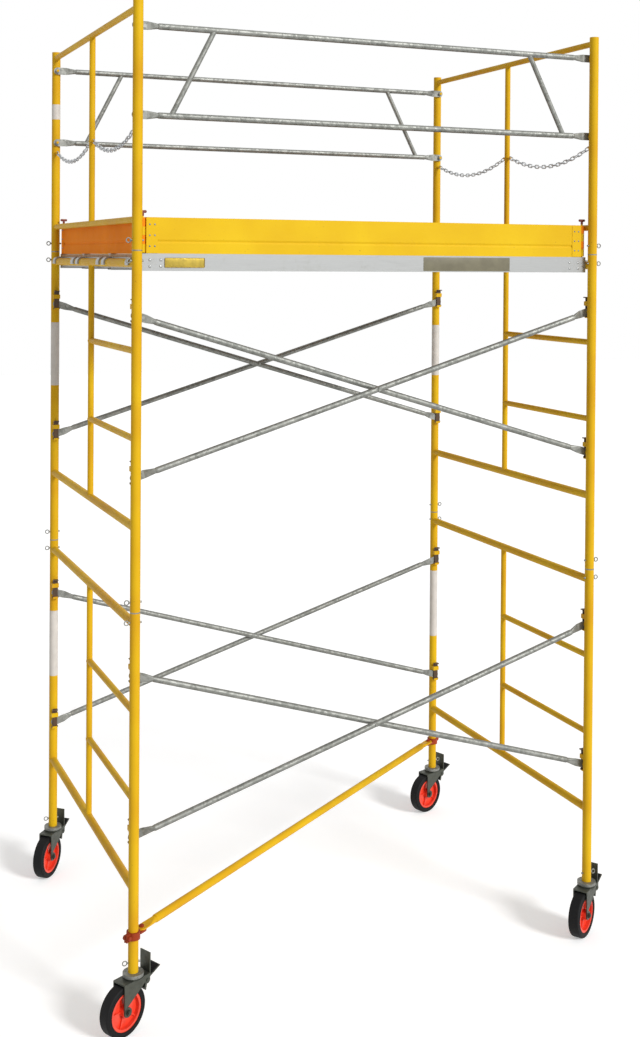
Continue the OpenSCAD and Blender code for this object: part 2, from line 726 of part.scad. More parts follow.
// Board along X with its outer face at y = 0, knuckles centred on x = -half and x = half.
// The first knuckle is in slot 0 or 1 of the four slots up the board.
module toe_board(half, first_slot) {
    board_end = half - knuckle_r - knuckle_web;
    translate([-board_end, 0, 0]) rotate([90, 0, 90]) linear_extrude(2 * board_end) toe_section();
    for (m = [0, 1]) mirror([m, 0, 0]) {
        translate([-board_end, -toe_sheet, toe_sheet])
            cube([toe_bracket, toe_sheet, toe_h - 2 * toe_sheet]);
        translate([-board_end - toe_sheet, -toe_sheet, 0]) cube([toe_sheet, toe_sheet + toe_t, toe_h]);
        for (k = [first_slot, first_slot + 2])
            translate([-half, knuckle_r, knuckle_edge + k * knuckle_pitch + knuckle_gap / 2])
                difference() {
                    union() {
                        cylinder(d = 2 * knuckle_r - 2 * over, h = knuckle_pitch - knuckle_gap);
                        translate([0, -knuckle_r / 2, 0])
                            cube([knuckle_r + 1, knuckle_r, knuckle_pitch - knuckle_gap]);
                    }
                    translate([0, 0, -over]) cylinder(d = toe_pin_d + 2 * seat_gap, h = toe_h);
                }
    }
}

module toe_corner_pin() {
    top = toe_h + toe_pin_rise;
    translate([0, 0, knuckle_edge]) cylinder(d = toe_pin_d, h = top - knuckle_edge);
    translate([0, 0, toe_h - knuckle_edge]) cylinder(d = pin_shoulder_d, h = pin_shoulder_t);
    translate([0, 0, top - toe_pin_d / 2]) along_x(toe_pin_d, 3 * toe_pin_d, -3 * toe_pin_d / 2);
}

module long_toe_board(end) color(toe_paint)
    mirror([0, end > 0 ? 1 : 0, 0]) translate([0, -toe_y, deck_z]) {
        toe_board(toe_x - knuckle_r, 0);
        for (s = [-1, 1]) translate([s * (toe_x - knuckle_r), knuckle_r, 0]) toe_corner_pin();
    }

module short_toe_board(side) color(toe_paint)
    mirror([side > 0 ? 1 : 0, 0, 0]) translate([-toe_x, 0, deck_z])
        rotate([0, 0, 90]) mirror([0, 1, 0]) toe_board(toe_y - knuckle_r, 1);

// ---- Diagonal brace ----

// Runs a piece made along +X out to the front left and back right legs
module diagonal_ends()
    for (turn = [0, 180]) rotate([0, 0, turn])
        translate([-bay / 2, -frame_w / 2, base_z + diagonal_rise])
            rotate([0, 0, diagonal_angle]) children();

module diagonal_brace() color(paint) {
    tube_half = sqrt(bay * bay + frame_w * frame_w) / 2 - diagonal_tube_x;
    difference() {
        union() {
            diagonal_ends() {
                translate([lug_reach, 0, lug_t / 2]) {
                    cylinder(d = diagonal_flat_w, h = diagonal_flat_t);
                    translate([0, -diagonal_flat_w / 2, 0])
                        cube([diagonal_flat_end - lug_reach, diagonal_flat_w, diagonal_flat_t]);
                }
                translate([0, 0, diagonal_tube_z]) rotate([90, 0, 0])
                    neck([diagonal_flat_t, diagonal_flat_w], diagonal_flat_end, diagonal_tube_x, diagonal_d);
            }
            translate([0, 0, base_z + diagonal_rise + diagonal_tube_z])
                rotate([0, 0, diagonal_angle]) nosed_blank(diagonal_d, tube_half);
        }
        translate([0, 0, base_z + diagonal_rise + diagonal_tube_z])
            rotate([0, 0, diagonal_angle])
                along_x(diagonal_d - 2 * diagonal_wall, 2 * tube_half, -tube_half);
        diagonal_ends() {
            translate([lug_reach, 0, -over])
                cylinder(d = clamp_bolt_d + 2 * seat_gap, h = lug_t + diagonal_flat_t + 2 * over);
            translate([diagonal_tube_x + diagonal_d, 0, -diagonal_d]) cylinder(d = drain_d, h = diagonal_d);
        }
    }
}

// A split clamp round a leg, with a lug toward the brace and a closing bolt opposite
module leg_clamp() {
    outer = leg_d + 2 * clamp_wall;
    ear_x = -outer / 2 - clamp_ear / 2;
    difference() {
        union() {
            translate([0, 0, -clamp_h / 2]) cylinder(d = outer, h = clamp_h);
            translate([-outer / 2 - clamp_ear, -clamp_slit / 2 - clamp_ear_t, -clamp_h / 2])
                cube([clamp_ear + clamp_wall, clamp_slit + 2 * clamp_ear_t, clamp_h]);
            translate([leg_r + clamp_wall / 2, -diagonal_flat_w / 2, -lug_t / 2])
                cube([lug_reach - leg_r - clamp_wall / 2, diagonal_flat_w, lug_t]);
            translate([lug_reach, 0, -lug_t / 2]) cylinder(d = diagonal_flat_w, h = lug_t);
        }
        translate([0, 0, -clamp_h / 2 - over])
            cylinder(d = leg_d + 2 * pivot_fit, h = clamp_h + 2 * over);
        translate([-outer - clamp_ear, -clamp_slit / 2, -clamp_h / 2 - over])
            cube([outer + clamp_ear, clamp_slit, clamp_h + 2 * over]);
        translate([ear_x, 0, 0]) along_y(clamp_bolt_d + 2 * seat_gap, leg_d, -leg_r);
        translate([lug_reach, 0, -lug_t]) cylinder(d = clamp_bolt_d + 2 * seat_gap, h = 2 * lug_t);
    }
}

// A bolt through a stack along +Z from z = 0, with a head below and a nut above
module clamp_bolt(stack) {
    head = 2 * clamp_bolt_d;
    translate([0, 0, -bolt_head_t - seat_gap]) cylinder(d = head, h = bolt_head_t, $fn = 6);
    translate([0, 0, -seat_gap - over]) cylinder(d = clamp_bolt_d, h = stack + bolt_head_t + bolt_tail);
    translate([0, 0, stack + seat_gap]) difference() {
        cylinder(d = head, h = bolt_head_t, $fn = 6);
        translate([0, 0, -over]) cylinder(d = clamp_bolt_d + 2 * pivot_fit, h = bolt_head_t + 2 * over);
    }
}

module diagonal_clamps() color(clamp_colour)
    diagonal_ends() {
        ears = clamp_slit + 2 * clamp_ear_t;
        leg_clamp();
        translate([lug_reach, 0, -lug_t / 2]) clamp_bolt(lug_t + diagonal_flat_t);
        translate([-leg_r - clamp_wall - clamp_ear / 2, -ears / 2, 0]) rotate([-90, 0, 0]) clamp_bolt(ears);
    }

// ---- Casters ----

// Stems, flanges and kingpins, which stay with the legs
module caster_stems() color(galvanised)
    for (signs = corner_signs) corner(signs) {
        difference() {
            union() {
                translate([0, 0, race_z + race_h]) cylinder(d = flange_d, h = flange_t);
                translate([0, 0, base_z]) cylinder(d = coupling_d, h = stem_len);
            }
            translate([0, 0, base_z + pin_hole_rise]) along_x(pin_hole_d, leg_d, -leg_r);
            translate([0, 0, base_z + coupling_wall])
                cylinder(d = coupling_d - 2 * coupling_wall, h = stem_len);
        }
        translate([0, 0, race_z + race_h / 2]) tube(flange_d, race_d + 2, race_h / 2);
        translate([0, 0, crown_z - kingpin_head_t]) {
            cylinder(d = kingpin_d, h = kingpin_head_t + crown_t + race_h);
            cylinder(d = kingpin_head_d, h = kingpin_head_t - seat_gap);
        }
        translate([0, 0, base_z + pin_hole_rise]) locking_pin();
    }

// Puts a caster piece, made with its trail along +X, under its leg
module at_caster(k)
    translate([corner_signs[k][0] * bay / 2, corner_signs[k][1] * frame_w / 2, 0])
        rotate([0, 0, 180 + swivels[k]]) children();

// Outline of a fork cheek in X and Z: crown, pedal ear and axle boss
module cheek_outline() {
    ear = [pedal_x, pedal_z];
    boss = [trail, wheel_z];
    waist = [pedal_x + ear_r + 6, pedal_z - ear_r / 2];
    top = crown_z + crown_t;
    polygon([
        [pedal_x - ear_r, top], [crown_back, top], [crown_back, wheel_z],
        touch_point(waist, boss, axle_boss_r, -1), waist, ear, [pedal_x - ear_r, pedal_z]
    ]);
    translate(ear) circle(ear_r);
    translate(boss) circle(axle_boss_r);
}

module caster_fork() color(fork_colour) {
    difference() {
        union() {
            translate([pedal_x - ear_r, -cheek_out, crown_z])
                cube([crown_back - pedal_x + ear_r, 2 * cheek_out, crown_t]);
            translate([0, 0, crown_z]) cylinder(r = race_d / 2 + crown_skirt, h = crown_t);
            for (y = [cheek_gap, -cheek_out])
                translate([0, y + cheek_t, 0]) rotate([90, 0, 0]) linear_extrude(cheek_t) cheek_outline();
            translate([0, 0, race_z]) cylinder(d = race_d, h = race_h - seat_gap);
        }
        translate([0, 0, crown_z - over]) cylinder(d = kingpin_d + 2 * pivot_fit, h = 2 * race_h + crown_t);
        translate([trail, 0, wheel_z]) along_y(axle_d + 2 * pivot_fit, 3 * cheek_out, -1.5 * cheek_out);
        translate([pedal_x, 0, pedal_z])
            along_y(pedal_pin_d + 2 * pivot_fit, 3 * cheek_out, -1.5 * cheek_out);
    }
    translate([trail, 0, wheel_z]) {
        along_y(axle_d, 2 * cheek_out + bolt_head_t + bolt_tail, -cheek_out - over);
        along_y(axle_head_d, bolt_head_t, -cheek_out - seat_gap - bolt_head_t, $fn = 6);
        translate([0, cheek_out + seat_gap, 0]) difference() {
            along_y(axle_head_d, bolt_head_t, 0, $fn = 6);
            along_y(axle_d + 2 * pivot_fit, bolt_head_t + 2 * over, -over);
        }
    }
    translate([pedal_x, 0, pedal_z]) {
        along_y(pedal_pin_d, 2 * cheek_out + 2 * over, -cheek_out - over);
        for (m = [0, 1]) mirror([0, m, 0])
            along_y(pedal_pin_head[0], pedal_pin_head[1], cheek_out + seat_gap);
    }
}

// Brake pedal: a barrel on its pin, a foot plate, a release tab and a shoe that meets the tyre
module caster_pedal() color(fork_colour) {
    slope = atan((pedal_tip_z - pedal_z) / (pedal_x - pedal_tip_x));
    foot_len = norm([pedal_tip_z - pedal_z, pedal_x - pedal_tip_x]);
    tab_foot = pedal_z + (pedal_x - pedal_tab_x) * tan(slope);
    shoe_r = wheel_d / 2 + shoe_gap;
    rotate([90, 0, 0]) translate([0, 0, -pedal_w / 2]) linear_extrude(pedal_w) difference() {
        union() {
            translate([pedal_x, pedal_z]) {
                circle(pedal_barrel_r);
                rotate(180 - slope) translate([0, -pedal_plate / 2]) square([foot_len, pedal_plate]);
                rotate(shoe_angle) translate([0, -pedal_plate]) square([shoe_len, 2 * pedal_plate]);
            }
            translate([pedal_tip_x, pedal_tip_z]) circle(d = pedal_plate);
            translate([pedal_tab_x - pedal_plate / 2, tab_foot])
                square([pedal_plate, pedal_tab_z - tab_foot]);
            translate([pedal_tab_x, pedal_tab_z]) circle(d = pedal_plate);
        }
        translate([pedal_x, pedal_z]) circle(d = pedal_pin_d + 2 * pivot_fit);
        translate([trail, wheel_z]) circle(shoe_r);
    }
}

// Moulded wheel centre: boss, web, rim and spokes that stand out on both sides of the web
module wheel_hub() color(hub_colour)
    translate([trail, 0, wheel_z]) rotate([90, 0, 0]) difference() {
        union() {
            translate([0, 0, -hub_w / 2]) cylinder(r = hub_boss_r, h = hub_w);
            translate([0, 0, -hub_web / 2]) cylinder(d = hub_d, h = hub_web);
            translate([0, 0, rim_inset - wheel_w / 2])
                tube(hub_d, hub_d - 2 * rim_t, wheel_w - 2 * rim_inset);
            for (i = [0:spokes - 1]) rotate([0, 0, i * 360 / spokes])
                translate([hub_boss_r - over, -spoke_t / 2, -wheel_w / 4])
                    cube([hub_d / 2 - rim_t - hub_boss_r + 2 * over, spoke_t, wheel_w / 2]);
        }
        translate([0, 0, -hub_w]) cylinder(d = axle_d + 2 * pivot_fit, h = 2 * hub_w);
    }

module wheel_tyre() color(tyre_colour)
    translate([trail, 0, wheel_z]) rotate([90, 0, 0]) rotate_extrude($fn = 96) {
        inner = hub_d / 2 + pivot_fit;
        difference() {
            translate([inner, -wheel_w / 2]) square([wheel_d / 2 - inner, wheel_w]);
            for (s = [-1, 1]) translate([wheel_d / 2 - tyre_round, s * (wheel_w / 2 - tyre_round)])
                difference() {
                    translate([0, s > 0 ? 0 : -tyre_round - over]) square(tyre_round + over);
                    circle(tyre_round);
                }
        }
    }

// ---- Nodes ----

for (l = [0, 1], s = [0, 1])
    ladder_frame(sign_of(s), lift_feet[l]);
for (s = [0, 1])
    guard_frame(sign_of(s));
for (l = [0, 1], e = [0, 1])
    cross_brace(sign_of(e), lift_feet[l]);
for (e = [0, 1])
    guardrail(sign_of(e));
for (s = [0, 1])
    chain(sign_of(s));
for (e = [0, 1])
    long_toe_board(sign_of(e));
for (s = [0, 1])
    short_toe_board(sign_of(s));
for (p = [0:planks - 1]) {
    plank_frame(p);
    plank_deck(p);
}
diagonal_brace();
diagonal_clamps();
coupling_pins();
caster_stems();
for (k = [0:3]) {
    at_caster(k) caster_fork();
    at_caster(k) caster_pedal();
    at_caster(k) wheel_hub();
    at_caster(k) wheel_tyre();
}
for (l = [0, 1], k = [0:3], v = [0, 1])
    corner(corner_signs[k]) translate([0, 0, lift_feet[l] + stud_rises[v]]) gravity_lock();
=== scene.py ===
# %% [markdown]
# # A rolling frame-scaffold tower, dressed for a studio view
# The tower is a stack of welded ladder frames, with braces, a planked deck and four braked
# casters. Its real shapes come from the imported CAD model. This file gives each part its finish,
# and adds the small things that a maker leaves out of a CAD model: weld beads, rivets, labels
# and rubber trim.

import json
import math

import bpy
from mathutils import Matrix, Vector


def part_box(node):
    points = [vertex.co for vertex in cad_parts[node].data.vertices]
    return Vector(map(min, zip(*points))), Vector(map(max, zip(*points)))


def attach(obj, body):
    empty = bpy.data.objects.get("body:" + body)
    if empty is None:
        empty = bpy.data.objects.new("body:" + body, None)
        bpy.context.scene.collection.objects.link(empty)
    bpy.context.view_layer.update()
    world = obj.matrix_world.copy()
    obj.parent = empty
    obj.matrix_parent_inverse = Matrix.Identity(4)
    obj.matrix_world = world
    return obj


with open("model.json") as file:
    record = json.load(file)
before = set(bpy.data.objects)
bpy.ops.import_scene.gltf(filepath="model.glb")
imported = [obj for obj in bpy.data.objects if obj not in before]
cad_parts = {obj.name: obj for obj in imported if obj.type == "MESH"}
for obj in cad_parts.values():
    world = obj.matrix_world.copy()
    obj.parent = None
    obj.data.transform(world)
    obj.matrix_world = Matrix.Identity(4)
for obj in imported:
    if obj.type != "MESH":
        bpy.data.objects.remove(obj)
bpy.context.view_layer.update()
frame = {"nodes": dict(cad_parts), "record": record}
NODES = frame["nodes"]

# %% [markdown]
# ## The camera
# The tower is seen from the front and a little from the left, by a lens at the height of the
# deck. A camera tilted down would show the posts leaning together, so it stays almost level, and
# the view is moved down with the lens's shift, as an architect's camera does.

# %% Place the camera
CAMERA_AT = Vector((-2.511, -6.040, 3.067))
CAMERA_YAW = math.radians(22.91)
CAMERA_PITCH = math.radians(0.69)
CAMERA_ROLL = math.radians(0.40)
LENS_MM = 47.6
SHIFT_DOWN = 0.233
SEES_AS_FAR_AS = 100

ahead = Vector((math.sin(CAMERA_YAW) * math.cos(CAMERA_PITCH),
                math.cos(CAMERA_YAW) * math.cos(CAMERA_PITCH), -math.sin(CAMERA_PITCH)))
level_right = Vector((math.cos(CAMERA_YAW), -math.sin(CAMERA_YAW), 0))
level_up = level_right.cross(ahead)
right = level_right * math.cos(CAMERA_ROLL) + level_up * math.sin(CAMERA_ROLL)
up = right.cross(ahead)

lens = bpy.data.cameras.new("camera")
lens.lens = LENS_MM
lens.shift_y = -SHIFT_DOWN
lens.clip_end = SEES_AS_FAR_AS
camera = bpy.data.objects.new("camera", lens)
bpy.context.scene.collection.objects.link(camera)
turned = Matrix((right, up, -ahead)).transposed().to_4x4()
camera.matrix_world = Matrix.Translation(CAMERA_AT) @ turned
bpy.context.scene.camera = camera
print("camera at", tuple(CAMERA_AT), "lens", LENS_MM)

# %% [markdown]
# ## Colours and scales
# Paint charts give colours in sRGB, but shaders add light in linear values, so one function turns
# a hex colour into linear. A texture's scale counts repeats in a metre, while a pattern is
# measured on the real thing in millimetres, so another function turns the one into the other.

# %% Hex colours and millimetres
MM = 0.001


def linear(code):
    """A hex colour such as "#f0a51f" as linear red, green, blue and alpha."""
    channels = [int(code[i:i + 2], 16) / 255 for i in (1, 3, 5)]
    return [c / 12.92 if c <= 0.04045 else ((c + 0.055) / 1.055) ** 2.4 for c in channels] + [1]


def per_mm(size):
    """Texture scale at which a pattern repeats about every `size` millimetres."""
    return 1000 / size


print("mid grey in linear values:", [round(channel, 3) for channel in linear("#808080")])

# %% [markdown]
# ## Nodes, patches and coats
# A finish is a shader with patterns linked to its sockets. Set one property at a time, it would
# be lost among its settings, so one small function adds a node with its settings and links. The
# rest is what real finishes share: patches that come and go, coats of colour laid over one
# another where the patches are, and a fine relief that catches the light.

# %% Add a node and start a finish
def add(tree, kind, sockets=None, **settings):
    """Adds a node with its own settings. Each socket takes a value, or another node's output."""
    node = tree.nodes.new(kind)
    for name, setting in settings.items():
        setattr(node, name, setting)
    for socket, source in (sockets or {}).items():
        if isinstance(source, bpy.types.NodeSocket):
            tree.links.new(source, node.inputs[socket])
        else:
            node.inputs[socket].default_value = source
    return node


def start_finish(name, colour, roughness, metallic=0.0, **sockets):
    """A new material: its node tree, its shader, and the coordinates that its patterns follow."""
    material = bpy.data.materials.new(name)
    material.use_nodes = True
    tree = material.node_tree
    shader = tree.nodes["Principled BSDF"]
    shader.inputs["Base Color"].default_value = linear(colour)
    shader.inputs["Roughness"].default_value = roughness
    shader.inputs["Metallic"].default_value = metallic
    for socket, value in sockets.items():
        shader.inputs[socket.replace("_", " ")].default_value = value
    place = add(tree, "ShaderNodeTexCoord").outputs["Object"]
    return material, tree, shader, place


print("materials before the first finish:", len(bpy.data.materials))

# %% Patches, coats and relief
# A Mix node has a set of sockets for each kind of data. Those for colours go by number.
AMOUNT, UNDER, OVER, MIXED = 0, 6, 7, 2


def patches(tree, place, size, detail, keep, give=(0, 1), rough=0.5):
    """Cloudy patches about `size` mm across: the noise between `keep` is spread over `give`."""
    cloud = add(tree, "ShaderNodeTexNoise",
                {"Vector": place, "Scale": per_mm(size), "Detail": detail, "Roughness": rough})
    spread = add(tree, "ShaderNodeMapRange",
                 {"Value": cloud.outputs["Fac"], "From Min": keep[0], "From Max": keep[1],
                  "To Min": give[0], "To Max": give[1]})
    return spread.outputs["Result"]


def lay_coats(tree, colour, *coats):
    """Lays each coat, an amount and a hex colour, over the hex colour or coat beneath it."""
    colour = linear(colour)
    for amount, code in coats:
        mix = add(tree, "ShaderNodeMix", {AMOUNT: amount, UNDER: colour, OVER: linear(code)},
                  data_type="RGBA")
        colour = mix.outputs[MIXED]
    return colour


def link_finish(tree, shader, colour, roughness, height, strength, depth):
    """Links the patterns to the shader, with the surface raised by `height`, up to `depth` mm."""
    raised = add(tree, "ShaderNodeBump",
                 {"Height": height, "Strength": strength, "Distance": depth / 1000})
    tree.links.new(raised.outputs["Normal"], shader.inputs["Normal"])
    tree.links.new(colour, shader.inputs["Base Color"])
    tree.links.new(roughness, shader.inputs["Roughness"])


print("a pattern of 10 mm repeats", per_mm(10), "times in a metre")

# %% [markdown]
# ## Enamels
# Scaffold frames are dipped or sprayed in a thick alkyd enamel, safety yellow going to orange.
# Outdoors it loses its gloss, gathers dust, and chips where tubes knock together in a stack. The
# wear could be painted by hand on unwrapped tubes. Noise at real sizes covers every frame without
# a seam, so each layer is a noise of its own: a broad one for the deeper tone, a finer one for
# dust, and for the chips one with a high threshold, so that they are few, small and sharp.

# %% Enamels on the frames, toe boards and clamps
RIPPLE, RIPPLE_DEPTH, CHIP_SHARE, DULLED_BY = 14, 0.5, 0.5, 0.18


def enamel(name, light, deep, chip, smoothest=0.45, coat=0.03):
    """Weathered enamel: clouds of a deeper tone, dust, and chips down to the primer."""
    material, tree, shader, place = start_finish(name, light, smoothest, Coat_Weight=coat,
                                                 Coat_Roughness=0.15, Specular_IOR_Level=0.14)
    clouds = patches(tree, place, size=260, detail=2, keep=(0.35, 0.7))
    dust = patches(tree, place, size=45, detail=5, rough=0.7, keep=(0.55, 0.8), give=(0, 0.25))
    chips = patches(tree, place, size=9, detail=4, rough=0.65, keep=(0.69, 0.71), give=(0, 0.75))
    dull = patches(tree, place, size=30, detail=4, keep=(0.3, 0.75),
                   give=(smoothest, smoothest + DULLED_BY))
    # A real coat ripples every few millimetres. The ripple is drawn coarser, so that it shows.
    ripple = add(tree, "ShaderNodeTexNoise",
                 {"Vector": place, "Scale": per_mm(RIPPLE), "Detail": 3}).outputs["Fac"]
    hollows = add(tree, "ShaderNodeMath", {0: chips, 1: CHIP_SHARE}, operation="MULTIPLY")
    height = add(tree, "ShaderNodeMath", {0: ripple, 1: hollows.outputs["Value"]},
                 operation="SUBTRACT")
    colour = lay_coats(tree, light, (clouds, deep), (dust, deep), (chips, chip))
    link_finish(tree, shader, colour, dull, height.outputs["Value"], strength=0.35,
                depth=RIPPLE_DEPTH)
    return material


# The frames look warm and half dulled by weather, the long boards fresher and brighter.
FRAME_ENAMEL = enamel("frame_alkyd_enamel_safety_yellow", "#dbb013", "#cf9a11", "#8a5a20")
TOE_ENAMEL = enamel("toe_board_enamel_bright_yellow", "#e3bb17", "#dbaf14", "#a07a26")
# The end boards are a deeper orange than the long boards. This is painted shade: the shade that
# falls on the left end, laid on both end boards. They are rougher and have no clear coat, so they
# show no pale sheen.
TOE_END_SHADED_ENAMEL = enamel("end_board_enamel_orange_dulled", "#fb8f16", "#ee8210", "#8a5a20",
                        smoothest=0.68, coat=0.0)
# Red oxide looks earthy, and its chips show dark steel.
CLAMP_ENAMEL = enamel("clamp_red_oxide_enamel", "#b04420", "#8a3418", "#3a2a22")
print("enamels:", FRAME_ENAMEL.name, TOE_ENAMEL.name, TOE_END_SHADED_ENAMEL.name, CLAMP_ENAMEL.name)

# %% [markdown]
# ## Galvanised and plated steel
# Hot-dip zinc freezes into crystals, the spangle, which flash lighter or darker as they lie. A
# picture of zinc would repeat along the tubes, so a cell pattern gives each crystal its own grey
# and gloss, and a small drift bends the cells' straight borders. Forged and pressed fittings get
# a thinner plating or a dark oxide: no spangle, but a fine grain, and a browner bloom in patches.

# %% Galvanised steel
SPANGLE, FROZEN_RUNS = 12, 6
DRIFT, DRIFTS_BY = 20, 4 * MM


def galvanised(name, light, deep):
    """Zinc crystals, each with its own grey and gloss, under a pale film in patches."""
    material, tree, shader, place = start_finish(name, light, roughness=0.42,
                                                 metallic=0.75)
    drift = add(tree, "ShaderNodeTexNoise", {"Vector": place, "Scale": per_mm(DRIFT)})
    small = add(tree, "ShaderNodeVectorMath", {0: drift.outputs["Color"], "Scale": DRIFTS_BY},
                operation="SCALE")
    bent = add(tree, "ShaderNodeVectorMath", {0: place, 1: small.outputs["Vector"]},
               operation="ADD")
    cells = add(tree, "ShaderNodeTexVoronoi",
                {"Vector": bent.outputs["Vector"], "Scale": per_mm(SPANGLE)})
    flash = add(tree, "ShaderNodeSeparateColor", {"Color": cells.outputs["Color"]}).outputs["Red"]
    darker = add(tree, "ShaderNodeMapRange", {"Value": flash, "To Max": 0.8}).outputs["Result"]
    film = patches(tree, place, size=120, detail=4, keep=(0.5, 0.8), give=(0, 0.35))
    gloss = add(tree, "ShaderNodeMapRange", {"Value": flash, "To Min": 0.5, "To Max": 0.62})
    frozen = add(tree, "ShaderNodeTexNoise",
                 {"Vector": place, "Scale": per_mm(FROZEN_RUNS), "Detail": 3})
    colour = lay_coats(tree, light, (darker, deep), (film, "#b3b4ae"))
    link_finish(tree, shader, colour, gloss.outputs["Result"], frozen.outputs["Fac"],
                strength=0.08, depth=0.3)
    return material


# Weathered zinc looks a soft mid grey that glitters a little, and new chain zinc brighter.
ZINC = galvanised("hot_dip_galvanised_spangle", "#8f908b", "#6d6f6a")
CHAIN_ZINC = galvanised("bright_zinc_chain", "#c3c6c8", "#9da1a4")
print("galvanised:", ZINC.name, CHAIN_ZINC.name)

# %% Pressed and forged metal
METAL_GRAIN = 2.5


def fitting_metal(name, base, bloom, roughness, metallic):
    """Plated or oxidised metal, with a bloom in patches and a fine grain."""
    material, tree, shader, place = start_finish(name, base, roughness, metallic=metallic)
    patch = patches(tree, place, size=30, detail=5, rough=0.7, keep=(0.45, 0.7), give=(0, 0.7))
    dull = patches(tree, place, size=12, detail=3, keep=(0.3, 0.7),
                   give=(roughness - 0.08, roughness + 0.12))
    # The real grain is well under a millimetre, and is drawn coarser, so that it shows.
    grain = add(tree, "ShaderNodeTexNoise",
                {"Vector": place, "Scale": per_mm(METAL_GRAIN), "Detail": 2})
    colour = lay_coats(tree, base, (patch, bloom))
    link_finish(tree, shader, colour, dull, grain.outputs["Fac"], strength=0.2, depth=0.2)
    return material


# Oxide makes the locks a warm, near-black brown, and thin plating leaves the forks a dull grey.
LOCK_STEEL = fitting_metal("oxidised_pressed_steel", "#4c3d30", "#63442c",
                           roughness=0.5, metallic=0.55)
FORK_STEEL = fitting_metal("dull_zinc_plated_pressed_steel", "#50534b", "#3f4039",
                           roughness=0.42, metallic=0.7)
# Lacquer keeps the small brass plate yellow, with a tarnish in patches.
PLATE_METAL = fitting_metal("lacquered_brass_plate", "#b29a3c", "#8d7a34",
                            roughness=0.4, metallic=0.6)
print("pressed:", LOCK_STEEL.name, FORK_STEEL.name, PLATE_METAL.name)

# %% [markdown]
# ## Aluminium planks and their plywood
# The plank rails are extruded, so their drawing lines run along the plank, and handling scuffs
# cross them. The panels are birch plywood, whose grain also runs along the plank, with an oiled
# sheen. A picture of wood would need unwrapped panels, and would look the same on all three. A
# noise drawn out along X gives both patterns, each at its own scale.

# %% Extruded aluminium
DRAWN_LINES, LINES_ALONG = 1.6, 0.02


def extruded_aluminium(name, light, deep):
    """Mill-finish metal with drawing lines along X, and pale scuffs in patches."""
    material, tree, shader, place = start_finish(name, light, roughness=0.38, metallic=0.8)
    # Real drawing lines lie a few tenths of a millimetre apart. They are drawn coarser to show.
    along = add(tree, "ShaderNodeMapping", {"Vector": place, "Scale": (LINES_ALONG, 1, 1)})
    lines = add(tree, "ShaderNodeTexNoise",
                {"Vector": along.outputs["Vector"], "Scale": per_mm(DRAWN_LINES), "Detail": 4})
    lines = lines.outputs["Fac"]
    streaks = add(tree, "ShaderNodeMapRange",
                  {"Value": lines, "From Min": 0.3, "From Max": 0.7, "To Max": 0.6})
    gloss = add(tree, "ShaderNodeMapRange", {"Value": lines, "From Min": 0.3, "From Max": 0.7,
                                             "To Min": 0.3, "To Max": 0.5})
    scuffs = patches(tree, place, size=60, detail=6, rough=0.75, keep=(0.55, 0.75), give=(0, 0.6))
    colour = lay_coats(tree, light, (streaks.outputs["Result"], deep), (scuffs, "#94958f"))
    link_finish(tree, shader, colour, gloss.outputs["Result"], lines, strength=0.12, depth=0.15)
    return material


# Bare aluminium looks a clean light grey, softly streaked along its length.
PLANK_ALUMINIUM = extruded_aluminium("extruded_aluminium_mill_finish", "#a9aaa9", "#929493")
print("rails:", PLANK_ALUMINIUM.name)

# %% Oiled plywood
GROWTH_RINGS, WOOD_FIBRES = 90, 2.5
RINGS_ALONG, FIBRES_ALONG, KNOTS_ALONG = 0.06, 0.03, 0.5


def plywood(name, light, deep, knot):
    """Peeled birch veneer: wavy growth rings, fine fibres over them, and a few darker knots."""
    material, tree, shader, place = start_finish(name, light, roughness=0.6)
    along_rings, along_fibres, along_knots = (
        add(tree, "ShaderNodeMapping", {"Vector": place, "Scale": (share, 1, 1)}).outputs["Vector"]
        for share in (RINGS_ALONG, FIBRES_ALONG, KNOTS_ALONG))
    rings = add(tree, "ShaderNodeTexWave",
                {"Vector": along_rings, "Scale": per_mm(GROWTH_RINGS), "Distortion": 9.0,
                 "Detail": 3.0, "Detail Scale": 1.2}, bands_direction="Y")
    # Real fibres are finer than a millimetre, and are drawn coarser, so that they show.
    fibres = add(tree, "ShaderNodeTexNoise", {"Vector": along_fibres, "Detail": 5,
                                              "Scale": per_mm(WOOD_FIBRES)}).outputs["Fac"]
    both = add(tree, "ShaderNodeMath", {0: rings.outputs["Fac"], 1: fibres}, operation="MULTIPLY")
    grain = add(tree, "ShaderNodeMapRange",
                {"Value": both.outputs["Value"], "From Min": 0.05, "From Max": 0.6})
    sheen = add(tree, "ShaderNodeMapRange", {"Value": fibres, "From Min": 0.3, "From Max": 0.7,
                                             "To Min": 0.5, "To Max": 0.72})
    knots = patches(tree, along_knots, size=160, detail=2, keep=(0.68, 0.76), give=(0, 0.6))
    colour = lay_coats(tree, light, (grain.outputs["Result"], deep), (knots, knot))
    link_finish(tree, shader, colour, sheen.outputs["Result"], fibres, strength=0.25, depth=0.3)
    return material


# Oil makes the birch a warm honey brown.
DECK_PLYWOOD = plywood("oiled_birch_plywood", "#b88a54", "#95693a", "#6f4a28")
print("panels:", DECK_PLYWOOD.name)

# %% [markdown]
# ## Wheels, grips and labels
# A caster wheel is a moulded polyolefin core, semi-gloss and bright red, under a tyre of solid
# rubber. Moulded plastic and vinyl take almost no wear that shows. One flat colour would nearly
# do, but it would look like no material at all, so they get a slight change of tone and an
# orange-peel. Rubber is rough, goes grey with dust where it rolls, and has a fine grain.

# %% Plastic, vinyl and rubber
ORANGE_PEEL, RUBBER_GRAIN = 1.5, 1.2


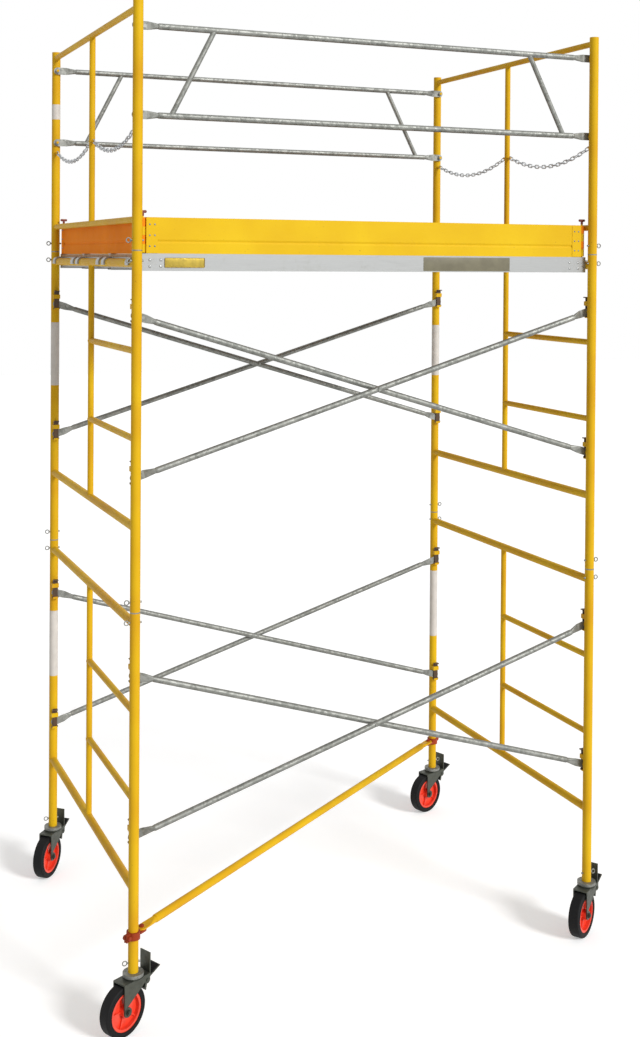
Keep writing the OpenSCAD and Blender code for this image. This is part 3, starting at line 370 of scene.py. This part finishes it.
def moulded(name, light, deep, roughness):
    """Smooth moulded plastic or vinyl: a slight change of tone, and a fine orange-peel."""
    material, tree, shader, place = start_finish(name, light, roughness)
    tone = patches(tree, place, size=40, detail=3, keep=(0.3, 0.7))
    gloss = patches(tree, place, size=8, detail=2, keep=(0.3, 0.7),
                    give=(roughness - 0.06, roughness + 0.08))
    peel = add(tree, "ShaderNodeTexNoise",
               {"Vector": place, "Scale": per_mm(ORANGE_PEEL), "Detail": 2})
    colour = lay_coats(tree, light, (tone, deep))
    link_finish(tree, shader, colour, gloss, peel.outputs["Fac"], strength=0.1, depth=0.15)
    return material


def rubber(name, base, dusty):
    """Solid rubber: dull, greyed by dust in patches, with a fine grain."""
    material, tree, shader, place = start_finish(name, base, roughness=0.72, Specular_IOR_Level=0.2)
    dust = patches(tree, place, size=22, detail=6, rough=0.75, keep=(0.5, 0.75), give=(0, 0.5))
    dull = add(tree, "ShaderNodeMapRange",
               {"Value": dust, "From Max": 0.5, "To Min": 0.62, "To Max": 0.85})
    grain = add(tree, "ShaderNodeTexNoise",
                {"Vector": place, "Scale": per_mm(RUBBER_GRAIN), "Detail": 2})
    colour = lay_coats(tree, base, (dust, dusty))
    link_finish(tree, shader, colour, dull.outputs["Result"], grain.outputs["Fac"],
                strength=0.25, depth=0.2)
    return material


# The core shines softly, the tyre hardly at all. Labels are satin, and dipped grips a little wet.
WHEEL_CORE = moulded("moulded_polyolefin_red", "#ea452c", "#d93a24", roughness=0.35)
TYRE_RUBBER = rubber("solid_rubber_black", "#0d0d0e", "#211f1d")
LABEL_VINYL = moulded("label_vinyl_off_white", "#d1cbc3", "#c6c0b8", roughness=0.5)
GRIP_VINYL = moulded("dipped_vinyl_dark_red", "#7c2a1c", "#6a2217", roughness=0.45)
# The long olive strip on the plank rail is a painted reflection: a dark band where the bare rail
# mirrors something dark.
OLIVE_REFLECTION_STRIP = moulded("sticker_vinyl_olive_grey", "#77725c", "#6b6652", roughness=0.45)
print("wheels:", WHEEL_CORE.name, TYRE_RUBBER.name)

# %% [markdown]
# ## Dress the CAD parts
# A CAD part keeps its mesh: only its material slot changes. Sixty parts could each be named with
# its finish. The record already says which slot each part takes, so one table from slots to
# finishes dresses nearly all, and a second one holds the few that differ: bright chains, and the
# end boards, whose deeper orange is painted shade.

# %% Give every CAD part its finish
FINISH_OF = {
    "frame_paint": FRAME_ENAMEL, "toe_paint": TOE_ENAMEL, "clamp_paint": CLAMP_ENAMEL,
    "galvanised": ZINC, "lock_steel": LOCK_STEEL, "fork_steel": FORK_STEEL,
    "plank_aluminium": PLANK_ALUMINIUM, "deck_plywood": DECK_PLYWOOD,
    "wheel_core": WHEEL_CORE, "tyre_rubber": TYRE_RUBBER,
}
# The end boards take the deeper orange enamel, which paints shade on both of them.
ODD_ONES = {"chain_left": CHAIN_ZINC, "chain_right": CHAIN_ZINC,
            "toe_board_left": TOE_END_SHADED_ENAMEL, "toe_board_right": TOE_END_SHADED_ENAMEL}
for part in frame["record"]["subparts"]:
    mesh = NODES[part["node"]].data
    mesh.materials.clear()
    mesh.materials.append(ODD_ONES.get(part["node"], FINISH_OF[part["material_slot"]]))

# %% [markdown]
# ## Tools for new pieces
# Every new piece starts as a primitive at its real size, is shaped in edit mode, and ends with
# its place written into its mesh, because the finishes read object coordinates. An operator acts
# on all that is selected, so each piece starts with nothing selected. An array modifier could
# repeat a shape in a row, but fittings sit in odd places, so a shape that repeats is modelled
# once and stamped: each stamp copies the mesh to its own place, and one part's stamps are joined.

# %% Start, settle and modify a piece
SMOOTH_BELOW = 35


def start():
    """Nothing selected, and object mode."""
    if bpy.context.object and bpy.context.object.mode != "OBJECT":
        bpy.ops.object.mode_set(mode="OBJECT")
    bpy.ops.object.select_all(action="DESELECT")


def settle(name, material=None):
    """Names the active piece, and writes its place, turn and size into its mesh."""
    piece = bpy.context.object
    bpy.ops.object.transform_apply(location=True, rotation=True, scale=True)
    piece.name = piece.data.name = name
    if material:
        piece.data.materials.clear()
        piece.data.materials.append(material)
    return piece


def apply_modifier(piece, kind, **settings):
    """Adds a modifier to the active piece and applies it."""
    modifier = piece.modifiers.new(kind.lower(), kind)
    for name, value in settings.items():
        setattr(modifier, name, value)
    bpy.ops.object.modifier_apply(modifier=modifier.name)


print("edges bent by less than", SMOOTH_BELOW, "degrees are shaded smooth")

# %% Select and cut in edit mode
def select_where(kind, wanted):
    """Selects the active piece's faces or edges for which `wanted` is true, in edit mode."""
    bpy.ops.object.mode_set(mode="EDIT")
    bpy.ops.mesh.select_all(action="DESELECT")
    bpy.ops.object.mode_set(mode="OBJECT")
    for element in getattr(bpy.context.object.data, kind):
        element.select = wanted(element)
    bpy.ops.object.mode_set(mode="EDIT")


def cut(at, normal, **how):
    """Cuts the active piece with a plane, and clears one side of it."""
    bpy.ops.object.mode_set(mode="EDIT")
    bpy.ops.mesh.select_all(action="SELECT")
    bpy.ops.mesh.bisect(plane_co=at, plane_no=normal, **how)
    bpy.ops.object.mode_set(mode="OBJECT")


# %% Stamp and drop patterns
def placed(x=0, y=0, z=0, turn=0, axis="Z"):
    """The matrix of a place in millimetres and a turn in degrees."""
    place = Matrix.Translation(Vector((x, y, z)) * MM)
    return place @ Matrix.Rotation(math.radians(turn), 4, axis)


def stamp(patterns, name, body="tower"):
    """Copies each pattern to each of its places, and joins the copies into one piece on a body."""
    start()
    copies = []
    for pattern, places in patterns:
        for place in places:
            twin = pattern.copy()
            twin.data = pattern.data.copy()
            twin.data.transform(place)
            bpy.context.scene.collection.objects.link(twin)
            twin.select_set(True)
            copies.append(twin)
    bpy.context.view_layer.objects.active = copies[0]
    if len(copies) > 1:
        bpy.ops.object.join()
    piece = settle(name)
    bpy.ops.object.shade_smooth_by_angle(angle=math.radians(SMOOTH_BELOW))
    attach(piece, body)
    return piece


def drop(*patterns):
    """Removes patterns once they are stamped."""
    for pattern in patterns:
        bpy.data.objects.remove(pattern)


print("a place 1000 mm up is at", tuple(placed(z=1000).translation), "in metres")

# %% [markdown]
# ## Weld beads
# The frames are welded, and every tube end wears a raised ripple of weld where it meets the next
# tube. A flat ring would stand off a round post at its sides, so each bead is a torus whose
# points are then moved along the tube, onto the curve in which the two tubes cross. The stacked
# drops of a hand weld are a small swelling, repeated round the ring.

# %% Model the beads
LEG_R, BAR_R, RUNG_R, STUD_R = 20.65, 17.45, 13.45, 11.0
BEAD_FACETS, WIRE_FACETS = 64, 8
DROPS_PER_MM, DROP_SWELL = 1.3, 0.14


def ring(name, radius, wire, facets, material):
    """Torus round the Y axis, centred on the origin."""
    start()
    bpy.ops.mesh.primitive_torus_add(rotation=(math.radians(90), 0, 0), major_segments=facets,
                                     minor_segments=WIRE_FACETS, major_radius=radius * MM,
                                     minor_radius=wire * MM)
    return settle(name, material)


def weld_bead(name, tube_r, post_r, wire):
    """Bead round a tube along Y, on the +Y side of an upright post at the origin."""
    bead = ring(name, tube_r, wire, BEAD_FACETS, FRAME_ENAMEL)
    drops = round(tube_r * DROPS_PER_MM)
    for vertex in bead.data.vertices:
        x, y, z = vertex.co / MM
        turn = math.atan2(z, x)
        swell = 1 + DROP_SWELL * math.cos(drops * turn)
        core = Vector((tube_r * math.cos(turn), 0, tube_r * math.sin(turn)))
        x, y, z = core + (Vector((x, y, z)) - core) * swell
        saddle = math.sqrt(max(post_r ** 2 - x ** 2, 0))
        vertex.co = Vector((x, y + saddle, z)) * MM
    return bead


bar_bead = weld_bead("bar_bead", BAR_R, LEG_R, wire=2.6)
rung_bead = weld_bead("rung_bead", RUNG_R, LEG_R, wire=2.3)
tee_bead = weld_bead("tee_bead", RUNG_R, RUNG_R, wire=2.2)
post_bead = weld_bead("post_bead", RUNG_R, BAR_R, wire=2.3)
stud_bead = weld_bead("stud_bead", STUD_R, LEG_R, wire=1.6)
print("beads:", len(bar_bead.data.polygons), "faces each")

# %% Weld the frames
SIDES = {"left": -1, "right": 1}
FRAME_HALF, BAY_HALF = 762.0, 1067.0
# Heights of the ladder frames' feet over the floor, and of their bars and studs over the foot.
FEET = {"lower": 232.0, "upper": 1668.0}
BAR_RISES = (332.0, 1384.0)
STUD_RISES = (528.0, 1174.0)
# Heights over the floor of the guard frames' bars and of the guardrails' studs.
GUARD_BARS = (3224.0, 4062.0)
GUARD_STUDS = (3641.4, 3996.5)


def weld_frame(name, x, bars, rungs, studs):
    """Beads of one welded frame: bars and studs at both legs, the centre post, and the rungs."""
    low, high = bars
    both_legs = [placed(x, end * FRAME_HALF, 0, 0 if end < 0 else 180) for end in (-1, 1)]
    bar_ends = [leg @ placed(z=z) for leg in both_legs for z in bars]
    stud_feet = [leg @ placed(z=z) for leg in both_legs for z in studs]
    post_ends = [placed(x, 0, low, 90, "X"), placed(x, 0, high, -90, "X")]
    # A guard frame has no rungs, and its bars and centre post are as thin as a rung.
    bar, post = (bar_bead, post_bead) if rungs else (rung_bead, tee_bead)
    patterns = [(bar, bar_ends), (stud_bead, stud_feet), (post, post_ends)]
    if rungs:
        patterns += [(rung_bead, [both_legs[0] @ placed(z=z) for z in rungs]),
                     (tee_bead, [placed(x, 0, z, 180) for z in rungs])]
    return stamp(patterns, name)


welds = []
for side, sign in SIDES.items():
    frame_x = sign * BAY_HALF
    for lift, foot in FEET.items():
        bars = [foot + rise for rise in BAR_RISES]
        step = (bars[1] - bars[0]) / 3
        rungs = [bars[0] + step, bars[0] + 2 * step]
        studs = [foot + rise for rise in STUD_RISES]
        welds.append(weld_frame(f"weld_beads_{lift}_{side}", frame_x, bars, rungs, studs))
    welds.append(weld_frame(f"weld_beads_guard_{side}", frame_x, GUARD_BARS, [], GUARD_STUDS))
drop(bar_bead, rung_bead, tee_bead, post_bead, stud_bead)
print("welds:", {weld.name: len(weld.data.polygons) for weld in welds})

# %% [markdown]
# ## Blank label bands
# Rental scaffolds carry wrap-round decals on their posts. Here they are left blank. A decal could
# be a patch of colour in the enamel, but then it would have no edge to catch the light. So it is
# an open sleeve just outside the tube: a cylinder without ends, cut off behind the post where a
# real decal's ends would meet, and then given its thickness.

# %% Wrap the back posts
LABEL_GAP, LABEL_T, LABEL_WRAP, LABEL_FACETS = 0.15, 0.25, 0.35, 48


def label_band(name, place, low, high):
    """Sleeve round a leg between two heights, open at the back of the leg."""
    start()
    bpy.ops.mesh.primitive_cylinder_add(vertices=LABEL_FACETS, radius=(LEG_R + LABEL_GAP) * MM,
                                        depth=(high - low) * MM, end_fill_type="NOTHING",
                                        location=(0, 0, (high + low) / 2 * MM))
    cut((0, LEG_R * LABEL_WRAP * MM, 0), (0, 1, 0), clear_outer=True)
    band = settle(name, LABEL_VINYL)
    apply_modifier(band, "SOLIDIFY", thickness=LABEL_T * MM, offset=1)
    piece = stamp([(band, [place])], name + "_band")
    drop(band)
    return piece


# Each band's lower and upper edge, as heights over the floor.
BANDS = {"left": [(987, 1312), (2437, 2750), (3757, 3831)], "right": [(973, 1338), (2432, 2711)]}
bands = [label_band(f"label_{side}_{i}", placed(SIDES[side] * BAY_HALF, FRAME_HALF), low, high)
         for side, heights in BANDS.items() for i, (low, high) in enumerate(heights, 1)]
print("bands:", [band.name for band in bands])

# %% [markdown]
# ## Plates on the front plank
# The outer rail of the front plank has a small stamped plate, which is blank, and one long dark
# olive strip, a painted reflection: the dark band that the bare rail mirrors. A plate could be
# drawn as a flat curve and filled. A cube is quicker: it is flattened to the plate's thickness, its
# four corners are rounded by a bevel along the edges that run through it, and a fine bevel round
# its face lets the rim catch light.

# %% Cut the plates
RAIL_FACE_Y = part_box("plank_frame_front")[0].y / MM
DECK_Z = 3090.0
CORNER_FACETS, RIM_FACETS, RIM_SHARE = 5, 2, 0.25


def plate(name, along, below_deck, corner, thick, material):
    """Thin plate on the plank rail's outer face, between two places and two depths below deck."""
    start()
    z_low, z_high = (DECK_Z - depth for depth in below_deck)
    size = Vector((along[1] - along[0], thick, z_high - z_low)) * MM
    centre = Vector((sum(along) / 2, RAIL_FACE_Y - thick / 2, (z_low + z_high) / 2)) * MM
    bpy.ops.mesh.primitive_cube_add(size=1, location=centre, scale=size)
    piece = settle(name, material)

    def runs_through(edge):
        near, far = (piece.data.vertices[i].co.y for i in edge.vertices)
        return abs(near - far) > 0.5 * thick * MM

    select_where("edges", runs_through)
    bpy.ops.mesh.select_mode(type="EDGE")
    bpy.ops.mesh.bevel(offset=corner * MM, segments=CORNER_FACETS)
    bpy.ops.object.mode_set(mode="OBJECT")
    apply_modifier(piece, "BEVEL", width=RIM_SHARE * thick * MM, segments=RIM_FACETS,
                   limit_method="ANGLE")
    whole = stamp([(piece, [placed()])], name + "_on_rail")
    drop(piece)
    return whole


# The olive strip is painted reflection: a dark band laid along the shiny rail.
plates = [plate("stamped_plate", (-946, -778), (56, 17), corner=4, thick=0.8, material=PLATE_METAL),
          plate("sticker_olive", (217, 648), (66, 6), corner=3, thick=0.3, material=OLIVE_REFLECTION_STRIP)]
print("plates:", [piece.name for piece in plates])

# %% [markdown]
# ## Rivets and screws
# The plank's hooks are riveted to its rails, its panels are screwed to its ribs, and the toe
# boards' brackets are riveted to their faces. A rivet's head is the cap of a sphere, cut off and
# filled by a bisect, and flattened. A pan screw is a short cylinder whose top is inset twice, to
# crown it and to sink its recess. A cross slot could be cut as well, but it would not show at
# this size, and with so many heads each one keeps to few faces.

# %% Model the fasteners
DOME_FACETS, DOME_RINGS, SCREW_FACETS = 12, 8, 16
# Each an inset as a share of the head's radius, and a rise as a share of its height.
CROWN, RECESS = (0.18, 0.25), (0.4, -0.4)


def dome(name, radius, height, material):
    """Rivet head on the plane z = 0, pointing up."""
    start()
    bpy.ops.mesh.primitive_uv_sphere_add(segments=DOME_FACETS, ring_count=DOME_RINGS,
                                         radius=radius * MM)
    cut((0, 0, 0), (0, 0, 1), clear_inner=True, use_fill=True)
    head = bpy.context.object
    head.scale = (1, 1, height / radius)
    return settle(name, material)


def pan_screw(name, radius, height, material):
    """Screw head on the plane z = 0, pointing up, with a recess in its top."""
    start()
    bpy.ops.mesh.primitive_cylinder_add(vertices=SCREW_FACETS, radius=radius * MM,
                                        depth=height * MM, location=(0, 0, height / 2 * MM))
    select_where("polygons", lambda face: face.normal.z > 0.9)
    for inset, lift in (CROWN, RECESS):
        bpy.ops.mesh.inset(thickness=inset * radius * MM)
        bpy.ops.transform.translate(value=(0, 0, lift * height * MM))
    bpy.ops.object.mode_set(mode="OBJECT")
    return settle(name, material)


hook_rivet = dome("hook_rivet", radius=6.0, height=2.6, material=PLANK_ALUMINIUM)
small_rivet = dome("small_rivet", radius=4.0, height=1.8, material=ZINC)
panel_screw = pan_screw("panel_screw", radius=4.5, height=1.2, material=ZINC)
print("fasteners:", [len(p.data.polygons) for p in (hook_rivet, small_rivet, panel_screw)], "faces")

# %% Rivet the planks
# The rails end just short of the legs' centres. Rivets are set in from there, and down from the
# deck, and the panels' screws are set in from the panels' ends and sides.
RAIL_END = BAY_HALF - 20
RIVETS_IN, RIVETS_DOWN = (40, 85), (26, 52)
SCREWS, SCREW_IN, SCREW_SIDE_IN, SCREW_TURN = 6, 25, 22, 20

for plank in ("front", "middle", "back"):
    low, high = (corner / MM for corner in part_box(f"plank_frame_{plank}"))
    outside = {"front": (low.y, 90), "back": (high.y, -90)}.get(plank)
    if outside:
        y, turn = outside
        heads = [placed(sign * (RAIL_END - along), y, DECK_Z - down) @ placed(turn=turn, axis="X")
                 for sign in (-1, 1) for along in RIVETS_IN for down in RIVETS_DOWN]
        stamp([(hook_rivet, heads)], f"rivets_{plank}")
    deck_low, deck_high = (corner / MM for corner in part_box(f"plank_deck_{plank}"))
    rows = [deck_low.y + SCREW_SIDE_IN, deck_high.y - SCREW_SIDE_IN]
    length = deck_high.x - deck_low.x - 2 * SCREW_IN
    columns = [deck_low.x + SCREW_IN + i * length / (SCREWS - 1) for i in range(SCREWS)]
    heads = [placed(x, y, deck_high.z, SCREW_TURN * i) for i, x in enumerate(columns) for y in rows]
    stamp([(panel_screw, heads)], f"screws_{plank}")
drop(hook_rivet, panel_screw)
print("planks riveted, and each panel held by", 2 * SCREWS, "screws")

# %% [markdown]
# ## Toe board fittings
# Each toe board ends in brackets held by two columns of rivets, and the boards meet in a hinge
# whose pin is pulled out by its cross handle. Such handles are dipped in vinyl. The dip could be
# a colour on the pin, but it has a thickness, so each handle gets a grip: a capsule over the
# crossbar, made from a cylinder with round bevelled ends, and a sleeve on its stem.

# %% Rivet the brackets
TOE_H, BRACKET, BRACKET_T, BRACKET_GAP, KNUCKLE_R = 145.0, 45.0, 2.0, 2, 12.0
PIN_R, PIN_RISE = 4.75, 27.0
HANDLE_BAR = 6 * PIN_R
COLUMNS_IN, RIVET_RISES = (12, BRACKET - 12), (0.2, 0.5, 0.8)
# Along the bay the handle's bar reaches furthest from its pin, and across it the bracket does.
PIN_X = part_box("toe_board_front")[1].x / MM - HANDLE_BAR / 2
PIN_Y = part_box("toe_board_back")[1].y / MM - BRACKET_T - KNUCKLE_R

bracket_rivets = []
# Each board's outward direction, the axis across it, and where its pins stand along it.
for board, outward, across, pin in (("front", -1, 1, PIN_X), ("back", 1, 1, PIN_X),
                                    ("left", -1, 0, PIN_Y), ("right", 1, 0, PIN_Y)):
    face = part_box(f"toe_board_{board}")[max(outward, 0)][across] / MM
    turn, axis = (-90 * outward, "X") if across else (90 * outward, "Y")
    for end in (-1, 1):
        for column in COLUMNS_IN:
            for rise in RIVET_RISES:
                spot = [0, 0, DECK_Z + TOE_H * rise]
                spot[across] = face
                spot[1 - across] = end * (pin - KNUCKLE_R - BRACKET_GAP - column)
                bracket_rivets.append(placed(*spot) @ placed(turn=turn, axis=axis))
stamp([(small_rivet, bracket_rivets)], "toe_bracket_rivets")
drop(small_rivet)
print("bracket rivets:", len(bracket_rivets))

# %% Dip the pin handles
BAR_DIP_T, STEM_DIP_T, DIP_OVER_END, STEM_BARE = 1, 0.8, 2, 3
GRIP_FACETS, GRIP_ROUNDING = 20, 0.7


def grip(name, radius, length, material):
    """Capsule along Z, centred on the origin."""
    start()
    bpy.ops.mesh.primitive_cylinder_add(vertices=GRIP_FACETS, radius=radius * MM,
                                        depth=length * MM)
    piece = settle(name, material)
    apply_modifier(piece, "BEVEL", width=GRIP_ROUNDING * radius * MM, segments=4,
                   limit_method="ANGLE")
    return piece


bar_z = DECK_Z + TOE_H + PIN_RISE - PIN_R
stem_z = DECK_Z + TOE_H + (PIN_RISE - PIN_R) / 2 + STEM_BARE / 2
crossbar = grip("crossbar_grip", PIN_R + BAR_DIP_T, HANDLE_BAR + 2 * DIP_OVER_END, GRIP_VINYL)
stem = grip("stem_grip", PIN_R + STEM_DIP_T, PIN_RISE - PIN_R - STEM_BARE, GRIP_VINYL)
pins = [(x * PIN_X, y * PIN_Y) for x in (-1, 1) for y in (-1, 1)]
stamp([(crossbar, [placed(x, y, bar_z, 90, "Y") for x, y in pins]),
       (stem, [placed(x, y, stem_z) for x, y in pins])], "toe_pin_grips")
drop(crossbar, stem)
print("pin grips:", len(pins))

# %% [markdown]
# ## Caster trim
# A shoe slips on a wet pedal, so its foot plate carries a ribbed rubber pad: a flat cube with
# bevelled edges, with the capsule from above laid across it as ribs. The tyre has two raised
# rings on each side, where its mould closed. They could be modelled at each wheel, but casters
# stand at odd turns, so both are made once in the caster's own axes, with the trail along +X, and
# turned to each caster's swivel, which follows from the record's wheel joints.

# %% Model the pad and the rings
WHEEL_R, WHEEL_HALF_W, TRAIL = 101.6, 25.0, 55.0
# The foot plate's two ends, each as a place along the trail and a height, and its thickness.
PLATE_FROM, PLATE_TO, PLATE_T = (-74.0, 201.9), (-116.0, 221.1), 5.0
PAD_W, PAD_T, PAD_EDGE = 50.0, 2.4, 0.8
RIBS, RIB_R, RIB_IN, RIB_STEP_SHARE = 5, 1.3, 3, 5.4
# Each ring's radius and the radius of its wire.
TYRE_RINGS = {"outer_ring": (91.0, 1.0), "inner_ring": (80.5, 1.3)}
RING_FACETS = 72

run, rise = PLATE_TO[0] - PLATE_FROM[0], PLATE_TO[1] - PLATE_FROM[1]
PAD_LEN, PAD_TILT = math.hypot(run, rise), math.degrees(math.atan2(rise, -run))

start()
bpy.ops.mesh.primitive_cube_add(size=1, scale=(PAD_LEN * MM, PAD_W * MM, PAD_T * MM))
pad = settle("pedal_pad", TYRE_RUBBER)
apply_modifier(pad, "BEVEL", width=PAD_EDGE * MM, segments=3, limit_method="ANGLE")
rib = grip("pad_rib", RIB_R, PAD_W - 2 * RIB_IN, TYRE_RUBBER)
side_rings = [ring(name, radius, wire, RING_FACETS, TYRE_RUBBER)
              for name, (radius, wire) in TYRE_RINGS.items()]
print("pad", round(PAD_LEN), "mm long, tilted", round(PAD_TILT), "degrees")

# %% Turn them to each caster
joints = {joint["name"]: joint for joint in frame["record"]["behaviour"]["joints"]}
plate_middle = placed((PLATE_FROM[0] + PLATE_TO[0]) / 2, 0, (PLATE_FROM[1] + PLATE_TO[1]) / 2,
                      PAD_TILT, "Y")
top = plate_middle @ placed(z=PLATE_T / 2)
for corner in ("front_left", "back_left", "back_right", "front_right"):
    axle = joints[f"wheel_spin_{corner}"]["axis"]
    leg_x, leg_y, _ = (value / MM for value in joints[f"swivel_{corner}"]["pos_m"])
    caster = placed(leg_x, leg_y, 0, math.degrees(math.atan2(-axle[0], axle[1])))
    ribs = [caster @ top @ placed((i - RIBS // 2) * PAD_LEN / RIB_STEP_SHARE, 0, PAD_T, 90, "X")
            for i in range(RIBS)]
    stamp([(pad, [caster @ top @ placed(z=PAD_T / 2)]), (rib, ribs)],
          f"pedal_pad_{corner}", f"pedal_{corner}")
    faces = [caster @ placed(TRAIL, side * WHEEL_HALF_W, WHEEL_R) for side in (-1, 1)]
    stamp([(side_ring, faces) for side_ring in side_rings],
          f"tyre_rings_{corner}", f"wheel_{corner}")
drop(pad, rib, *side_rings)
print("casters trimmed, each with", RIBS, "ribs and", 2 * len(side_rings), "rings")

# %% [markdown]
# ## The studio
# A plain pale floor carries the shadow, and the backdrop is white because the world shows white
# to the camera and in reflections, while it lights the tower at a lower strength. A white wall
# would do too, but it would throw light back on the tower. One soft sun from the front right
# gives the tubes their bright side and leaves the left end in shade.

# %% Floor, world and lamps
FLOOR_SIZE, FLOOR_GLOW = 60, 0.35
LIGHTS_AT, SHOWS_AT = 0.43, 1.0
WHITE = (1, 1, 1, 1)


def background_rays(tree):
    """1 for the rays that show the background: to the camera, in a reflection or through glass."""
    path = add(tree, "ShaderNodeLightPath").outputs
    either = add(tree, "ShaderNodeMath", {0: path["Is Camera Ray"], 1: path["Is Glossy Ray"]},
                 operation="MAXIMUM").outputs["Value"]
    return add(tree, "ShaderNodeMath", {0: either, 1: path["Is Transmission Ray"]},
               operation="MAXIMUM").outputs["Value"]


def make_floor():
    """A wide sheet of matt white paper, which glows a little where it shows."""
    start()
    bpy.ops.mesh.primitive_plane_add(size=FLOOR_SIZE, location=(0, 0, 0))
    floor = bpy.context.object
    floor.name = "studio_floor"
    material, tree, shader, _ = start_finish("studio_paper_white", "#f2f2f2", roughness=0.9)
    glow = add(tree, "ShaderNodeMath", {0: background_rays(tree), 1: FLOOR_GLOW},
               operation="MULTIPLY")
    shader.inputs["Emission Color"].default_value = WHITE
    tree.links.new(glow.outputs["Value"], shader.inputs["Emission Strength"])
    floor.data.materials.append(material)


def make_world():
    """White all round, which shows at full strength and lights at a lower one."""
    world = bpy.data.worlds.new("studio_white")
    bpy.context.scene.world = world
    world.use_nodes = True
    tree = world.node_tree
    background = tree.nodes["Background"]
    background.inputs["Color"].default_value = WHITE
    strength = add(tree, "ShaderNodeMapRange",
                   {"Value": background_rays(tree), "To Min": LIGHTS_AT, "To Max": SHOWS_AT})
    tree.links.new(strength.outputs["Result"], background.inputs["Strength"])


def make_sun(name, energy, angle, toward):
    """A sun that shines along `toward`, softened to `angle` degrees."""
    lamp = bpy.data.lights.new(name, "SUN")
    lamp.energy = energy
    lamp.angle = math.radians(angle)
    sun = bpy.data.objects.new(name, lamp)
    bpy.context.scene.collection.objects.link(sun)
    sun.rotation_euler = Vector(toward).to_track_quat("-Z", "Y").to_euler()


bpy.context.scene.view_settings.view_transform = "Standard"
make_floor()
make_world()
make_sun("key_from_front_right", energy=2.6, angle=14, toward=(-0.4, 0.85, -0.5))
print("studio ready: floor", FLOOR_SIZE, "m wide, world at", LIGHTS_AT)

# %% [markdown]
# ## End

# %% End
print("tower dressed and lit")
